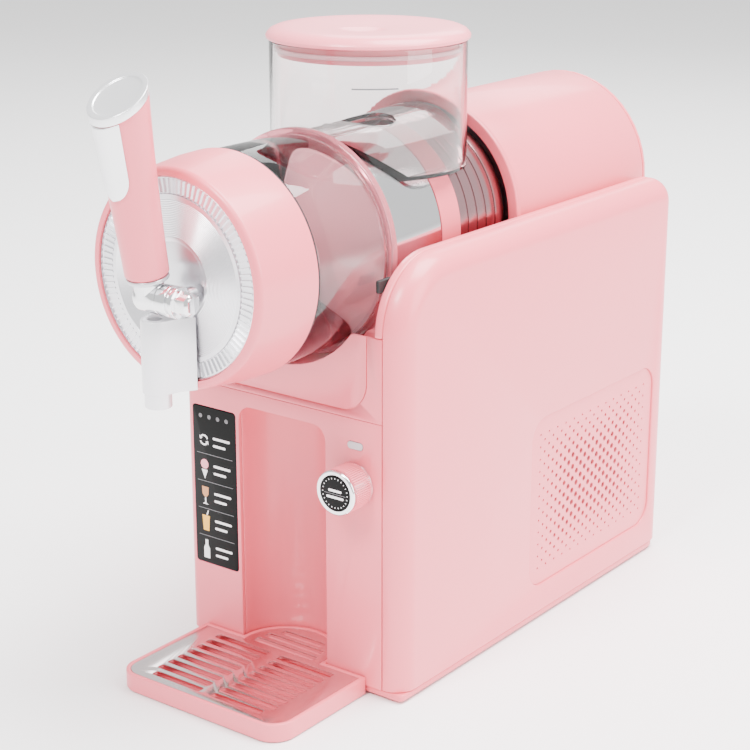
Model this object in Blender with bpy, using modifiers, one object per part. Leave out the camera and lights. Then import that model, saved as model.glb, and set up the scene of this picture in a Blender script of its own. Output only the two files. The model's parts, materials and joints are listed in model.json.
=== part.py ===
"""Home soft-serve and slush machine with a horizontal freezing drum.

Blender 4.5, metres, +Z up. The machine's front faces -Y. It is modelled about a point on the
floor at the foot of the front panel, and the whole machine is centred on the origin at the end.
Sizes below are in millimetres.
"""

import math

import bmesh
import bpy
from mathutils import Matrix, Vector

MM = 0.001
GAP = 0.3            # between touching pieces
RUNNING = 0.4        # around a turning shaft
WALL = 2.6           # moulded shells

# Casing
WIDTH = 182.0
DEPTH = 340.0
TOWER_TOP = 291.0
TOWER_ROUND = 48.0   # front top corner of the tower, seen from the side
TOWER_BACK_ROUND = 18.0
SIDE_FILLET = 15.0   # soft outer edge of the right cover
COVER_SPAN = 16.0    # how far the right cover reaches in from the side
TOWER_SLAB = 6.1     # inner panel beside the cover
FOOT_HEIGHT = 1.7
FOOT_RADIUS = 8.0
BASE_THICK = 4.3
PANEL_SPLIT = 188.0  # top of the front panel
SADDLE_TOP = 243.0
CORNER_ROUND = 8.0   # left front corner, seen from above
CORNER_RETURN = 12.0

# Drum line, along Y. Every ring, shell and seat follows the drum's radius, and the drum's ends follow the hopper.
HOPPER_Y = 95.5
HOPPER_RADIUS = 64.5
DRUM_X = -8.0
DRUM_Z = 288.0
DRUM_RADIUS = 66.0
DRUM_WALL = 1.6
DRUM_REAR = HOPPER_Y + HOPPER_RADIUS
DISC_FRONT = -94.0
DISC_RADIUS = DRUM_RADIUS - 4.3
RING_FRONT_RADIUS = DRUM_RADIUS + 1.0
RING_REAR_RADIUS = DRUM_RADIUS + 5.0
RING_REAR = -46.0
GASKET_THICK = 2.0
BOWL_RADIUS = DRUM_RADIUS + 3.5
BOWL_WALL = 2.5
FLANGE_REAR = HOPPER_Y - HOPPER_RADIUS - 1.0
FLANGE_FRONT = FLANGE_REAR - 6.0
FLANGE_RADIUS = DRUM_RADIUS + 7.0
SADDLE_RADIUS = DRUM_RADIUS + 10.5
COLLAR_RADIUS = DRUM_RADIUS + 10.0
COLLAR_THICK = 5.0
DOME_RADIUS = DRUM_RADIUS + 6.0
SHAFT_RADIUS = 8.0
SHAFT_FRONT = -85.0
SHAFT_REAR = DRUM_REAR + 28.0
SEAL_RADIUS = 14.0
FLIGHT_RADIUS = DRUM_RADIUS - 9.0
FLIGHT_FRONT = -80.0
FLIGHT_TURNS = 3.8
FLIGHT_PITCH = 58.0
FLIGHT_THICK = 3.0

# Hopper
HOPPER_WALL = 2.4
HOPPER_BASE = 328.0
HOPPER_RIM = 410.0
PORT_RADIUS = 18.0
LID_RIM = HOPPER_RADIUS + 2.0
LID_TOP = 418.0
LID_SKIRT = 10.0

# Dispensing handle
PIVOT_Y = -111.0
PIVOT_Z = 281.0
HANDLE_X = DRUM_X - 2.5
LEAN = math.radians(9.8)
YOKE_RADIUS = 9.3
PIN_RADIUS = 4.0
GRIP_FOOT = 14.0
GRIP_TOP = 117.0         # at its middle, under the cap
GRIP_TOP_RADIUS = 18.2
GRIP_FOOT_RADIUS = 13.2
TOP_SLANT = math.radians(24)
CAP_THICK = 5.0
INLAY_LENGTH = 44.0
INLAY_SPREAD = 41.0      # degrees to each side of the grip's front
SPOUT_BOTTOM = 214.0
SPOUT_TOP = 268.0
PLUNGER_RADIUS = 4.0

# Front controls
DISPLAY_LEFT = -83.5
DISPLAY_WIDTH = 37.5
DISPLAY_LOW = 58.0
DISPLAY_HIGH = 171.0
RECESS_X = -6.5
RECESS_RADIUS = 36.5
RECESS_TOP = 178.0
KNOB_X = 54.0
KNOB_Z = 145.0
KNOB_RADIUS = 15.0
KNOB_FRONT = -21.0
LENS_SIZE = (12.0, 5.0)
LENS_Z = 170.5

# Drip tray
TRAY_DEPTH = 90.0
TRAY_WIDTH = 138.0
TRAY_TOP = 12.8
TRAY_BOTTOM = 0.8
TRAY_ROUND = 16.0
TRAY_RIM = 3.0
TRAY_LEDGE = 4.0
GRID_THICK = 2.4
GRID_ROWS = 8

# Vent in the right cover
VENT_BACK = 318.0
VENT_FRONT = 150.0
VENT_LOW = 27.0
VENT_HIGH = 152.0
VENT_ROUND = 16.0

# Cooling plant
FAN_Y = 232.0
FAN_Z = 90.0
FAN_RADIUS = 48.0
FAN_BLADES = 5
SHROUD_X = 38.0
COMPRESSOR_PLACE = (-42.0, 250.0)
COMPRESSOR_RADIUS = 42.0
COMPRESSOR_TOP = 120.0

SIDE = WIDTH / 2
BASE_LOW = FOOT_HEIGHT + GAP
SHELL_LOW = BASE_LOW + BASE_THICK + GAP
SEAM_X = SIDE - COVER_SPAN
SLAB_X = SEAM_X - GAP - TOWER_SLAB
INNER_X = SLAB_X - GAP

MATERIALS = {
    "pink_shell": ((0.86, 0.52, 0.55), 0.32, 0.0),
    "pink_trim": ((0.90, 0.62, 0.65), 0.30, 0.0),
    "clear_bowl": ((0.90, 0.86, 0.87), 0.06, 0.0),
    "steel": ((0.72, 0.72, 0.74), 0.22, 1.0),
    "chrome": ((0.80, 0.80, 0.82), 0.08, 1.0),
    "black_gloss": ((0.01, 0.01, 0.012), 0.12, 0.0),
    "black_rubber": ((0.03, 0.03, 0.03), 0.75, 0.0),
    "silver_plastic": ((0.75, 0.75, 0.76), 0.30, 0.2),
    "white_plastic": ((0.86, 0.85, 0.85), 0.40, 0.0),
    "copper_board": ((0.05, 0.22, 0.12), 0.55, 0.0),
    "dark_metal": ((0.10, 0.10, 0.11), 0.45, 0.8),
    "fin_metal": ((0.60, 0.61, 0.63), 0.40, 1.0),
}

# Each moving body's joint stands at this point, seen in the machine's own frame.
PIVOTS = {
    "housing": (0, 0, 0),
    "bowl": (DRUM_X, RING_REAR, DRUM_Z),
    "handle": (HANDLE_X, PIVOT_Y, PIVOT_Z),
    "valve": (DRUM_X, PIVOT_Y, SPOUT_BOTTOM),
    "auger": (DRUM_X, DRUM_REAR, DRUM_Z),
    "hopper": (DRUM_X, HOPPER_Y, HOPPER_BASE),
    "lid": (DRUM_X, HOPPER_Y, HOPPER_RIM),
    "fan": (SHROUD_X, FAN_Y, FAN_Z),
    "knob": (KNOB_X, 0, KNOB_Z),
    "knob_button": (KNOB_X, KNOB_FRONT, KNOB_Z),
    "tray": (RECESS_X, 0, TRAY_BOTTOM),
    "grid": (RECESS_X, 0, TRAY_TOP),
    "latch": (INNER_X, 14, 274),
}


class Workshop:
    """Holds the scene's collections, materials and one empty for each body."""

    def __init__(self):
        for obj in list(bpy.data.objects):
            bpy.data.objects.remove(obj, do_unlink=True)
        self.parts = bpy.data.collections.new("ice_cream_maker")
        self.cutters = bpy.data.collections.new("cutters")
        for collection in (self.parts, self.cutters):
            bpy.context.scene.collection.children.link(collection)
        self.cutters.hide_render = True
        self.machine = self.empty("machine", (0, 0, 0), None)
        self.bodies = {name: self.empty(f"{name}_joint", at, self.machine) for name, at in PIVOTS.items()}
        self.materials = {name: make_material(name, *look) for name, look in MATERIALS.items()}

    def empty(self, name, at, parent):
        obj = bpy.data.objects.new(name, None)
        obj.location = Vector(at) * MM
        obj.parent = parent
        self.parts.objects.link(obj)
        return obj

    def add(self, name, bm, material, body, origin=None, turn=None):
        """Makes an object of a mesh in millimetres. Without an origin, its points are in the machine's frame."""
        pivot = Vector(PIVOTS[body])
        if origin is None:
            bmesh.ops.translate(bm, verts=bm.verts, vec=-pivot)
        bmesh.ops.scale(bm, verts=bm.verts, vec=(MM, MM, MM))
        mesh = bpy.data.meshes.new(name)
        bm.to_mesh(mesh)
        bm.free()
        obj = bpy.data.objects.new(name, mesh)
        obj.parent = self.bodies[body]
        if origin is not None:
            obj.location = (Vector(origin) - pivot) * MM
        if turn is not None:
            obj.rotation_euler = turn
        if material is None:
            obj.hide_render = True
            obj.display_type = "WIRE"
            self.cutters.objects.link(obj)
        else:
            mesh.materials.append(self.materials[material])
            mesh.shade_smooth()
            mesh.set_sharp_from_angle(angle=math.radians(35))
            self.parts.objects.link(obj)
        return obj


def make_material(name, colour, roughness, metallic):
    material = bpy.data.materials.new(name)
    material.use_nodes = True
    shader = material.node_tree.nodes["Principled BSDF"]
    shader.inputs["Base Color"].default_value = (*colour, 1)
    shader.inputs["Roughness"].default_value = roughness
    shader.inputs["Metallic"].default_value = metallic
    return material


def arc(centre, radius, start, end, steps):
    """Points from start to end, in degrees, both ends included."""
    angles = [math.radians(start + (end - start) * i / steps) for i in range(steps + 1)]
    return [(centre[0] + radius * math.cos(a), centre[1] + radius * math.sin(a)) for a in angles]


def rounded(low, high, radii, steps=5):
    """A rectangle with its own corner radius at low-low, high-low, high-high and low-high."""
    (x0, y0), (x1, y1) = low, high
    corners = ((x0, y0, 1, 1, 180), (x1, y0, -1, 1, 270), (x1, y1, -1, -1, 0), (x0, y1, 1, -1, 90))
    points = []
    for (x, y, inward_x, inward_y, start), radius in zip(corners, radii):
        if radius <= 0:
            points.append((x, y))
            continue
        centre = (x + inward_x * radius, y + inward_y * radius)
        points += arc(centre, radius, start, start + 90, steps)
    return points


def prism(outline, axis, low, high):
    """An outline in the other two axes, in alphabetical order, extruded from low to high."""
    place = {"X": lambda a, b: (low, a, b), "Y": lambda a, b: (a, low, b), "Z": lambda a, b: (a, b, low)}[axis]
    along = {"X": (1, 0, 0), "Y": (0, 1, 0), "Z": (0, 0, 1)}[axis]
    bm = bmesh.new()
    face = bm.faces.new([bm.verts.new(place(a, b)) for a, b in outline])
    extruded = bmesh.ops.extrude_face_region(bm, geom=[face])
    top = [item for item in extruded["geom"] if isinstance(item, bmesh.types.BMVert)]
    bmesh.ops.translate(bm, verts=top, vec=Vector(along) * (high - low))
    bmesh.ops.recalc_face_normals(bm, faces=bm.faces)
    return bm


def block(low, high, bevel=0.0, segments=2):
    bm = bmesh.new()
    bmesh.ops.create_cube(bm, size=1)
    size = [b - a for a, b in zip(low, high)]
    bmesh.ops.scale(bm, verts=bm.verts, vec=size)
    bmesh.ops.translate(bm, verts=bm.verts, vec=[(a + b) / 2 for a, b in zip(low, high)])
    if bevel:
        bmesh.ops.bevel(bm, geom=bm.edges[:], offset=bevel, segments=segments, profile=0.5, affect="EDGES")
    return bm


def rod(axis, centre, radius, low, high, sides=24):
    """A cylinder along an axis, from low to high on it, with its centre line through centre."""
    turn = {"X": Matrix.Rotation(math.pi / 2, 3, "Y"), "Y": Matrix.Rotation(-math.pi / 2, 3, "X")}
    bm = bmesh.new()
    bmesh.ops.create_cone(bm, cap_ends=True, segments=sides, radius1=radius, radius2=radius, depth=high - low)
    bmesh.ops.rotate(bm, verts=bm.verts, matrix=turn.get(axis, Matrix.Identity(3)))
    place = Vector(centre)
    place["XYZ".index(axis)] = (low + high) / 2
    bmesh.ops.translate(bm, verts=bm.verts, vec=place)
    return bm


AXIS_TURN = {"X": (0, math.pi / 2, 0), "Y": (-math.pi / 2, 0, 0), "Z": (0, 0, 0)}


def turned(shop, name, profile, axis, origin, material, body, steps=48, turn=None):
    """Turns (radius, height) points about an axis. The outer side comes first, from high to low.

    A profile whose ends are on the axis stays open there, and any other is closed into a ring.
    """
    bm = bmesh.new()
    verts = [bm.verts.new((radius, 0, height)) for radius, height in profile]
    for first, second in zip(verts, verts[1:]):
        bm.edges.new((first, second))
    if profile[0][0] > 0:
        bm.edges.new((verts[-1], verts[0]))
    obj = shop.add(name, bm, material, body, origin, turn or AXIS_TURN[axis])
    screw = obj.modifiers.new("turn", "SCREW")
    screw.steps = screw.render_steps = steps
    screw.use_merge_vertices = True
    screw.merge_threshold = 0.00001
    return obj


def cut(target, cutter, operation="DIFFERENCE"):
    boolean = target.modifiers.new(f"{operation.lower()}_{cutter.name}", "BOOLEAN")
    boolean.operation = operation
    boolean.object = cutter
    boolean.solver = "EXACT"


def soft_slab(fillet, inset):
    """The right cover's form: the tower's side outline, with a soft edge round its outer face."""
    low, high = SHELL_LOW - 2 * SIDE_FILLET, TOWER_TOP - inset
    radii = (SIDE_FILLET + 1, SIDE_FILLET + 1, TOWER_BACK_ROUND - inset, TOWER_ROUND - inset)
    bm = prism(rounded((inset, low), (DEPTH - inset, high), radii, 6), "X", SEAM_X, SIDE - inset)
    outer = [edge for edge in bm.edges if all(v.co.x > SIDE - inset - 0.01 for v in edge.verts)]
    bmesh.ops.bevel(bm, geom=outer, offset=fillet, segments=5, profile=0.5, affect="EDGES")
    everything = bm.verts[:] + bm.edges[:] + bm.faces[:]
    below = bmesh.ops.bisect_plane(
        bm, geom=everything, plane_co=(0, 0, SHELL_LOW), plane_no=(0, 0, -1), clear_outer=True
    )
    rim = [item for item in below["geom_cut"] if isinstance(item, bmesh.types.BMEdge)]
    bmesh.ops.holes_fill(bm, edges=rim)
    bmesh.ops.recalc_face_normals(bm, faces=bm.faces)
    return bm


def vent_outline(clearance):
    low = (VENT_FRONT + clearance, VENT_LOW + clearance)
    high = (VENT_BACK - clearance, VENT_HIGH - clearance)
    return rounded(low, high, [VENT_ROUND - clearance] * 4)


def make_base(shop):
    edge = 1.0
    plan = rounded((-SIDE + edge, edge), (SIDE - edge, DEPTH - edge), (CORNER_ROUND, 4, SIDE_FILLET, CORNER_ROUND))
    shop.add("base_plate", prism(plan, "Z", BASE_LOW, BASE_LOW + BASE_THICK), "pink_shell", "housing")
    inset = 22
    for side, x in (("left", -SIDE + inset), ("right", SIDE - inset)):
        for end, y in (("front", inset), ("rear", DEPTH - inset)):
            foot = rod("Z", (x, y, 0), FOOT_RADIUS, 0, FOOT_HEIGHT, 20)
            shop.add(f"foot_{end}_{side}", foot, "black_rubber", "housing")


def make_tower(shop):
    cover = shop.add("right_side_cover", soft_slab(SIDE_FILLET, 0), "pink_shell", "housing")
    hollow = soft_slab(SIDE_FILLET - WALL, WALL)
    for vert in hollow.verts:
        if vert.co.x < SEAM_X + 0.01:
            vert.co.x -= WALL
        if vert.co.z < SHELL_LOW + 0.01:
            vert.co.z -= WALL
    cut(cover, shop.add("cover_hollow", hollow, None, "housing"))
    cut(cover, shop.add("vent_opening", prism(vent_outline(0), "X", SIDE - 2 * WALL, SIDE + 1), None, "housing"))

    grille_out = SIDE - 1.4
    plate = prism(vent_outline(GAP), "X", grille_out - 2, grille_out)
    grille = shop.add("vent_grille", plate, "pink_shell", "housing")
    slots = 10
    margin = 12
    pitch = (VENT_BACK - VENT_FRONT - 2 * margin) / slots
    for index in range(slots):
        y = VENT_FRONT + margin + (index + 0.5) * pitch
        low, high = (SIDE - 8, y - 2.5, VENT_LOW + margin), (SIDE + 1, y + 2.5, VENT_HIGH - margin)
        cut(grille, shop.add(f"vent_slot_{index + 1}", block(low, high), None, "housing"))

    outline = rounded((0, SHELL_LOW), (DEPTH, TOWER_TOP), (0, 0, TOWER_BACK_ROUND, TOWER_ROUND), 6)
    inner = shop.add("tower_inner_panel", prism(outline, "X", SLAB_X, SLAB_X + TOWER_SLAB), "pink_shell", "housing")
    behind_front = block((SLAB_X - 1, -5, SHELL_LOW - 5), (SEAM_X + 1, WALL + GAP, SADDLE_TOP + GAP))
    cut(inner, shop.add("front_panel_seat", behind_front, None, "housing"))
    window = rounded((VENT_FRONT, VENT_LOW), (VENT_BACK, VENT_HIGH), [10] * 4, 3)
    cut(inner, shop.add("air_window", prism(window, "X", SLAB_X - 1, SEAM_X + 1), None, "housing"))


def corner_plan(right):
    """The plan of a front wall that turns the left corner and runs back a little way."""
    outer = arc((-SIDE + CORNER_ROUND, CORNER_ROUND), CORNER_ROUND, 270, 180, 5)
    inner = arc((-SIDE + CORNER_ROUND, CORNER_ROUND), CORNER_ROUND - WALL, 180, 270, 5)
    ends = [(-SIDE, CORNER_RETURN), (-SIDE + WALL, CORNER_RETURN)]
    return [(right, 0), *outer, *ends, *inner, (right, WALL)]


def recess_plan(radius, front):
    """Half a circle behind the front panel, drawn from a line in front of or just behind the circle's centre."""
    if front < 0:
        return [(RECESS_X + radius, front), *arc((RECESS_X, 0), radius, 0, 180, 16), (RECESS_X - radius, front)]
    start = math.degrees(math.asin(front / radius))
    return arc((RECESS_X, 0), radius, start, 180 - start, 16)


def make_front(shop):
    panel = shop.add("front_panel", prism(corner_plan(SEAM_X - GAP), "Z", SHELL_LOW, PANEL_SPLIT), "pink_shell", "housing")
    display_low = (DISPLAY_LEFT, DISPLAY_LOW)
    display_high = (DISPLAY_LEFT + DISPLAY_WIDTH, DISPLAY_HIGH)
    around = [value - GAP for value in display_low], [value + GAP for value in display_high]
    cut(panel, shop.add("display_opening", prism(rounded(*around, [2.3] * 4, 2), "Y", -1, WALL + 1), None, "housing"))
    mouth = rounded((RECESS_X - RECESS_RADIUS, 0), (RECESS_X + RECESS_RADIUS, RECESS_TOP), (0, 0, 10, 10), 4)
    cut(panel, shop.add("recess_mouth", prism(mouth, "Y", -1, WALL + 1), None, "housing"))
    knob_hole = rod("Y", (KNOB_X, 0, KNOB_Z), 5 + RUNNING, -1, WALL + 1, 20)
    cut(panel, shop.add("knob_hole", knob_hole, None, "housing"))
    lens_low = (KNOB_X - LENS_SIZE[0] / 2, LENS_Z - LENS_SIZE[1] / 2)
    lens_high = (KNOB_X + LENS_SIZE[0] / 2, LENS_Z + LENS_SIZE[1] / 2)
    lens_round = LENS_SIZE[1] / 2 - 0.2
    lens_hole = rounded([v - GAP for v in lens_low], [v + GAP for v in lens_high], [lens_round + GAP] * 4, 3)
    cut(panel, shop.add("lens_hole", prism(lens_hole, "Y", -1, WALL + 1), None, "housing"))

    shop.add("indicator_lens", prism(rounded(lens_low, lens_high, [lens_round] * 4, 3), "Y", -0.4, WALL), "silver_plastic", "housing")
    shop.add("display_window", prism(rounded(display_low, display_high, [2] * 4, 2), "Y", -0.2, WALL), "black_gloss", "housing")
    board_low = (DISPLAY_LEFT + 1, WALL + 1.5, DISPLAY_LOW + 1)
    board_high = (DISPLAY_LEFT + DISPLAY_WIDTH - 3, WALL + 3.1, DISPLAY_HIGH - 1)
    shop.add("display_board", block(board_low, board_high), "copper_board", "housing")

    back = WALL + GAP
    liner = prism(recess_plan(RECESS_RADIUS + WALL, back), "Z", SHELL_LOW, RECESS_TOP + WALL)
    liner = shop.add("cup_recess", liner, "pink_shell", "housing")
    hollow = prism(recess_plan(RECESS_RADIUS, -1), "Z", SHELL_LOW - 1, RECESS_TOP)
    cut(liner, shop.add("recess_hollow", hollow, None, "housing"))

    cradle = shop.add("cradle_panel", prism(corner_plan(SEAM_X - GAP), "Z", PANEL_SPLIT + GAP, SADDLE_TOP), "pink_shell", "housing")
    round_drum = rod("Y", (DRUM_X, 0, DRUM_Z), FLANGE_RADIUS + 1.3, -1, CORNER_RETURN + 1, 48)
    cut(cradle, shop.add("cradle_round", round_drum, None, "housing"))


def make_body_shells(shop):
    left = block((-SIDE, CORNER_RETURN + GAP, SHELL_LOW), (-SIDE + WALL, DEPTH - WALL - GAP, SADDLE_TOP - WALL - GAP))
    shop.add("left_side_panel", left, "pink_shell", "housing")

    inside = -SIDE + WALL + GAP
    shelf = SADDLE_TOP - WALL
    rise = math.degrees(math.asin((DRUM_Z - SADDLE_TOP) / SADDLE_RADIUS))
    trough = arc((DRUM_X, DRUM_Z), SADDLE_RADIUS, 180 + rise, 360 - rise, 20)
    under = DRUM_Z - SADDLE_RADIUS - WALL
    outline = [(-SIDE, shelf), (-SIDE, SADDLE_TOP), *trough, (INNER_X, SADDLE_TOP), (INNER_X, under), (inside, under), (inside, shelf)]
    front = CORNER_RETURN + GAP
    shop.add("drum_saddle", prism(outline, "Y", front, DRUM_REAR), "pink_shell", "housing")

    outer = arc((DRUM_X, DRUM_Z), DOME_RADIUS, 180, 0, 24)
    inner = arc((DRUM_X, DRUM_Z), DOME_RADIUS - WALL, 0, 180, 24)
    outline = [
        (-SIDE, shelf), (-SIDE, SADDLE_TOP), (DRUM_X - DOME_RADIUS, SADDLE_TOP), *outer,
        (DRUM_X + DOME_RADIUS, SADDLE_TOP), (INNER_X, SADDLE_TOP), (INNER_X, shelf),
        (DRUM_X + DOME_RADIUS - WALL, shelf), *inner, (DRUM_X - DOME_RADIUS + WALL, shelf),
    ]
    dome_front = DRUM_REAR + COLLAR_THICK + GAP
    shop.add("motor_housing", prism(outline, "Y", dome_front, DEPTH - WALL - GAP), "pink_shell", "housing")

    collar_rise = math.degrees(math.asin((DRUM_Z - SADDLE_TOP - GAP) / COLLAR_RADIUS))
    bore_rise = math.degrees(math.asin((DRUM_Z - SADDLE_TOP - GAP) / (DRUM_RADIUS + 2)))
    outer = arc((DRUM_X, DRUM_Z), COLLAR_RADIUS, 180 + collar_rise, -collar_rise, 32)
    inner = arc((DRUM_X, DRUM_Z), DRUM_RADIUS + 2, -bore_rise, 180 + bore_rise, 32)
    collar = prism([*outer, *inner], "Y", DRUM_REAR + GAP, DRUM_REAR + COLLAR_THICK)
    shop.add("drum_collar", collar, "pink_trim", "housing")

    outer = arc((DRUM_X, DRUM_Z), DOME_RADIUS, 0, 180, 24)
    outline = [
        (-SIDE, SHELL_LOW), (INNER_X, SHELL_LOW), (INNER_X, SADDLE_TOP), (DRUM_X + DOME_RADIUS, SADDLE_TOP),
        *outer, (DRUM_X - DOME_RADIUS, SADDLE_TOP), (-SIDE, SADDLE_TOP),
    ]
    rear = shop.add("rear_panel", prism(outline, "Y", DEPTH - WALL, DEPTH), "pink_shell", "housing")
    inlet_low, inlet_high = (-62, 30), (-32, 52)
    hole = rounded([v - GAP for v in inlet_low], [v + GAP for v in inlet_high], [3.3] * 4, 2)
    cut(rear, shop.add("inlet_hole", prism(hole, "Y", DEPTH - 2 * WALL, DEPTH + 1), None, "housing"))
    body = shop.add("power_inlet", prism(rounded(inlet_low, inlet_high, [3] * 4, 2), "Y", DEPTH - 24, DEPTH), "black_rubber", "housing")
    socket = rounded((-59, 33), (-35, 49), (1, 1, 5, 5), 2)
    cut(body, shop.add("inlet_socket", prism(socket, "Y", DEPTH - 16, DEPTH + 1), None, "housing"))


def make_plant(shop):
    x, y = COMPRESSOR_PLACE
    floor = SHELL_LOW + 2
    profile = [
        (0, COMPRESSOR_TOP), (COMPRESSOR_RADIUS - 14, COMPRESSOR_TOP), (COMPRESSOR_RADIUS, COMPRESSOR_TOP - 14),
        (COMPRESSOR_RADIUS, floor + 14), (COMPRESSOR_RADIUS - 10, floor), (0, floor),
    ]
    turned(shop, "compressor", profile, "Z", (x, y, 0), "dark_metal", "housing", 28)
    reach = FAN_RADIUS + 12
    low, high = (SHROUD_X + 14, FAN_Y - reach, FAN_Z - reach), (SHROUD_X + 26, FAN_Y + reach, FAN_Z + reach)
    shop.add("condenser", block(low, high), "fin_metal", "housing")
    plate = block((SHROUD_X, low[1], low[2]), (SHROUD_X + 3, high[1], high[2]))
    shroud = shop.add("fan_shroud", plate, "black_rubber", "housing")
    throat = rod("X", (0, FAN_Y, FAN_Z), FAN_RADIUS + 3, SHROUD_X - 1, SHROUD_X + 4, 28)
    cut(shroud, shop.add("fan_throat", throat, None, "housing"))
    hub_back = SHROUD_X - 12
    motor = rod("X", (0, FAN_Y, FAN_Z), 13, hub_back - 14, hub_back - 0.5, 20)
    shop.add("fan_motor", motor, "dark_metal", "housing")
    hub = shop.add("fan_rotor", rod("X", (0, FAN_Y, FAN_Z), 13, hub_back, SHROUD_X - 1, 20), "black_rubber", "fan")
    for index in range(FAN_BLADES):
        blade = block((-4.5, -9, 8), (-2.5, 9, FAN_RADIUS))
        bmesh.ops.rotate(blade, verts=blade.verts, matrix=Matrix.Rotation(math.radians(24), 3, "Z"))
        bmesh.ops.rotate(blade, verts=blade.verts, matrix=Matrix.Rotation(math.tau * index / FAN_BLADES, 3, "X"))
        bmesh.ops.translate(blade, verts=blade.verts, vec=((hub_back + SHROUD_X) / 2 + 2.5, FAN_Y, FAN_Z))
        cut(hub, shop.add(f"fan_blade_{index + 1}", blade, None, "fan"), "UNION")
    shop.add("power_board", block((-70, 60, 186), (40, 140, 188)), "copper_board", "housing")
    profile = [(0, 300), (34, 300), (38, 294), (38, 204), (34, 198), (0, 198)]
    turned(shop, "gear_motor", profile, "Y", (DRUM_X, 0, DRUM_Z), "dark_metal", "housing", 28)
    bracket = rod("Y", (DRUM_X, 0, DRUM_Z), DOME_RADIUS - WALL - GAP, 193, 196, 40)
    bracket = shop.add("motor_bracket", bracket, "fin_metal", "housing")
    pass_through = rod("Y", (DRUM_X, 0, DRUM_Z), SHAFT_RADIUS + 5, 190, 198, 24)
    cut(bracket, shop.add("bracket_bore", pass_through, None, "housing"))


def make_drum(shop):
    axis = (DRUM_X, 0, DRUM_Z)
    front = FLANGE_REAR + GAP + GASKET_THICK + GAP
    inner = DRUM_RADIUS - DRUM_WALL
    profile = [
        (DRUM_RADIUS, DRUM_REAR), (DRUM_RADIUS, front), (inner, front), (inner, DRUM_REAR - 3),
        (SEAL_RADIUS + GAP, DRUM_REAR - 3), (SEAL_RADIUS + GAP, DRUM_REAR),
    ]
    drum = turned(shop, "freezing_cylinder", profile, "Y", axis, "steel", "housing", 56)
    port = rod("Z", (DRUM_X, HOPPER_Y, 0), PORT_RADIUS, DRUM_Z + 20, DRUM_Z + DRUM_RADIUS + 10, 24)
    cut(drum, shop.add("drum_port", port, None, "housing"))
    profile = [(DRUM_RADIUS, front - GAP), (DRUM_RADIUS, FLANGE_REAR + GAP), (inner, FLANGE_REAR + GAP), (inner, front - GAP)]
    turned(shop, "cylinder_gasket", profile, "Y", axis, "black_rubber", "housing", 56)
    bore = SHAFT_RADIUS + RUNNING
    profile = [(SEAL_RADIUS, DRUM_REAR), (SEAL_RADIUS, DRUM_REAR - 3), (bore, DRUM_REAR - 3), (bore, DRUM_REAR)]
    turned(shop, "drum_seal", profile, "Y", axis, "black_rubber", "housing", 28)


def make_auger(shop):
    axis = (DRUM_X, 0, DRUM_Z)
    profile = [(0, SHAFT_REAR), (SHAFT_RADIUS, SHAFT_REAR), (SHAFT_RADIUS, SHAFT_FRONT), (SHAFT_RADIUS - 3, SHAFT_FRONT - 3), (0, SHAFT_FRONT - 3)]
    turned(shop, "auger_shaft", profile, "Y", axis, "steel", "auger", 24)
    profile = [(16, SHAFT_REAR), (16, DRUM_REAR + 8), (SHAFT_RADIUS + GAP, DRUM_REAR + 8), (SHAFT_RADIUS + GAP, SHAFT_REAR)]
    turned(shop, "drive_coupling", profile, "Y", axis, "white_plastic", "auger", 24)

    bm = bmesh.new()
    root = SHAFT_RADIUS + GAP
    section = [(root, 0), (FLIGHT_RADIUS, 0), (FLIGHT_RADIUS, FLIGHT_THICK), (root, FLIGHT_THICK)]
    verts = [bm.verts.new((DRUM_X + radius, FLIGHT_FRONT + height, DRUM_Z)) for radius, height in section]
    edges = [bm.edges.new((verts[i - 1], verts[i])) for i in range(len(verts))]
    bmesh.ops.spin(
        bm, geom=verts + edges, cent=(DRUM_X, 0, DRUM_Z), axis=(0, 1, 0), angle=math.tau * FLIGHT_TURNS,
        steps=round(24 * FLIGHT_TURNS), dvec=(0, FLIGHT_PITCH / 24, 0), use_duplicate=False,
    )
    bmesh.ops.holes_fill(bm, edges=[edge for edge in bm.edges if edge.is_boundary], sides=4)
    bmesh.ops.recalc_face_normals(bm, faces=bm.faces)
    shop.add("auger_flight", bm, "white_plastic", "auger")


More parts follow.
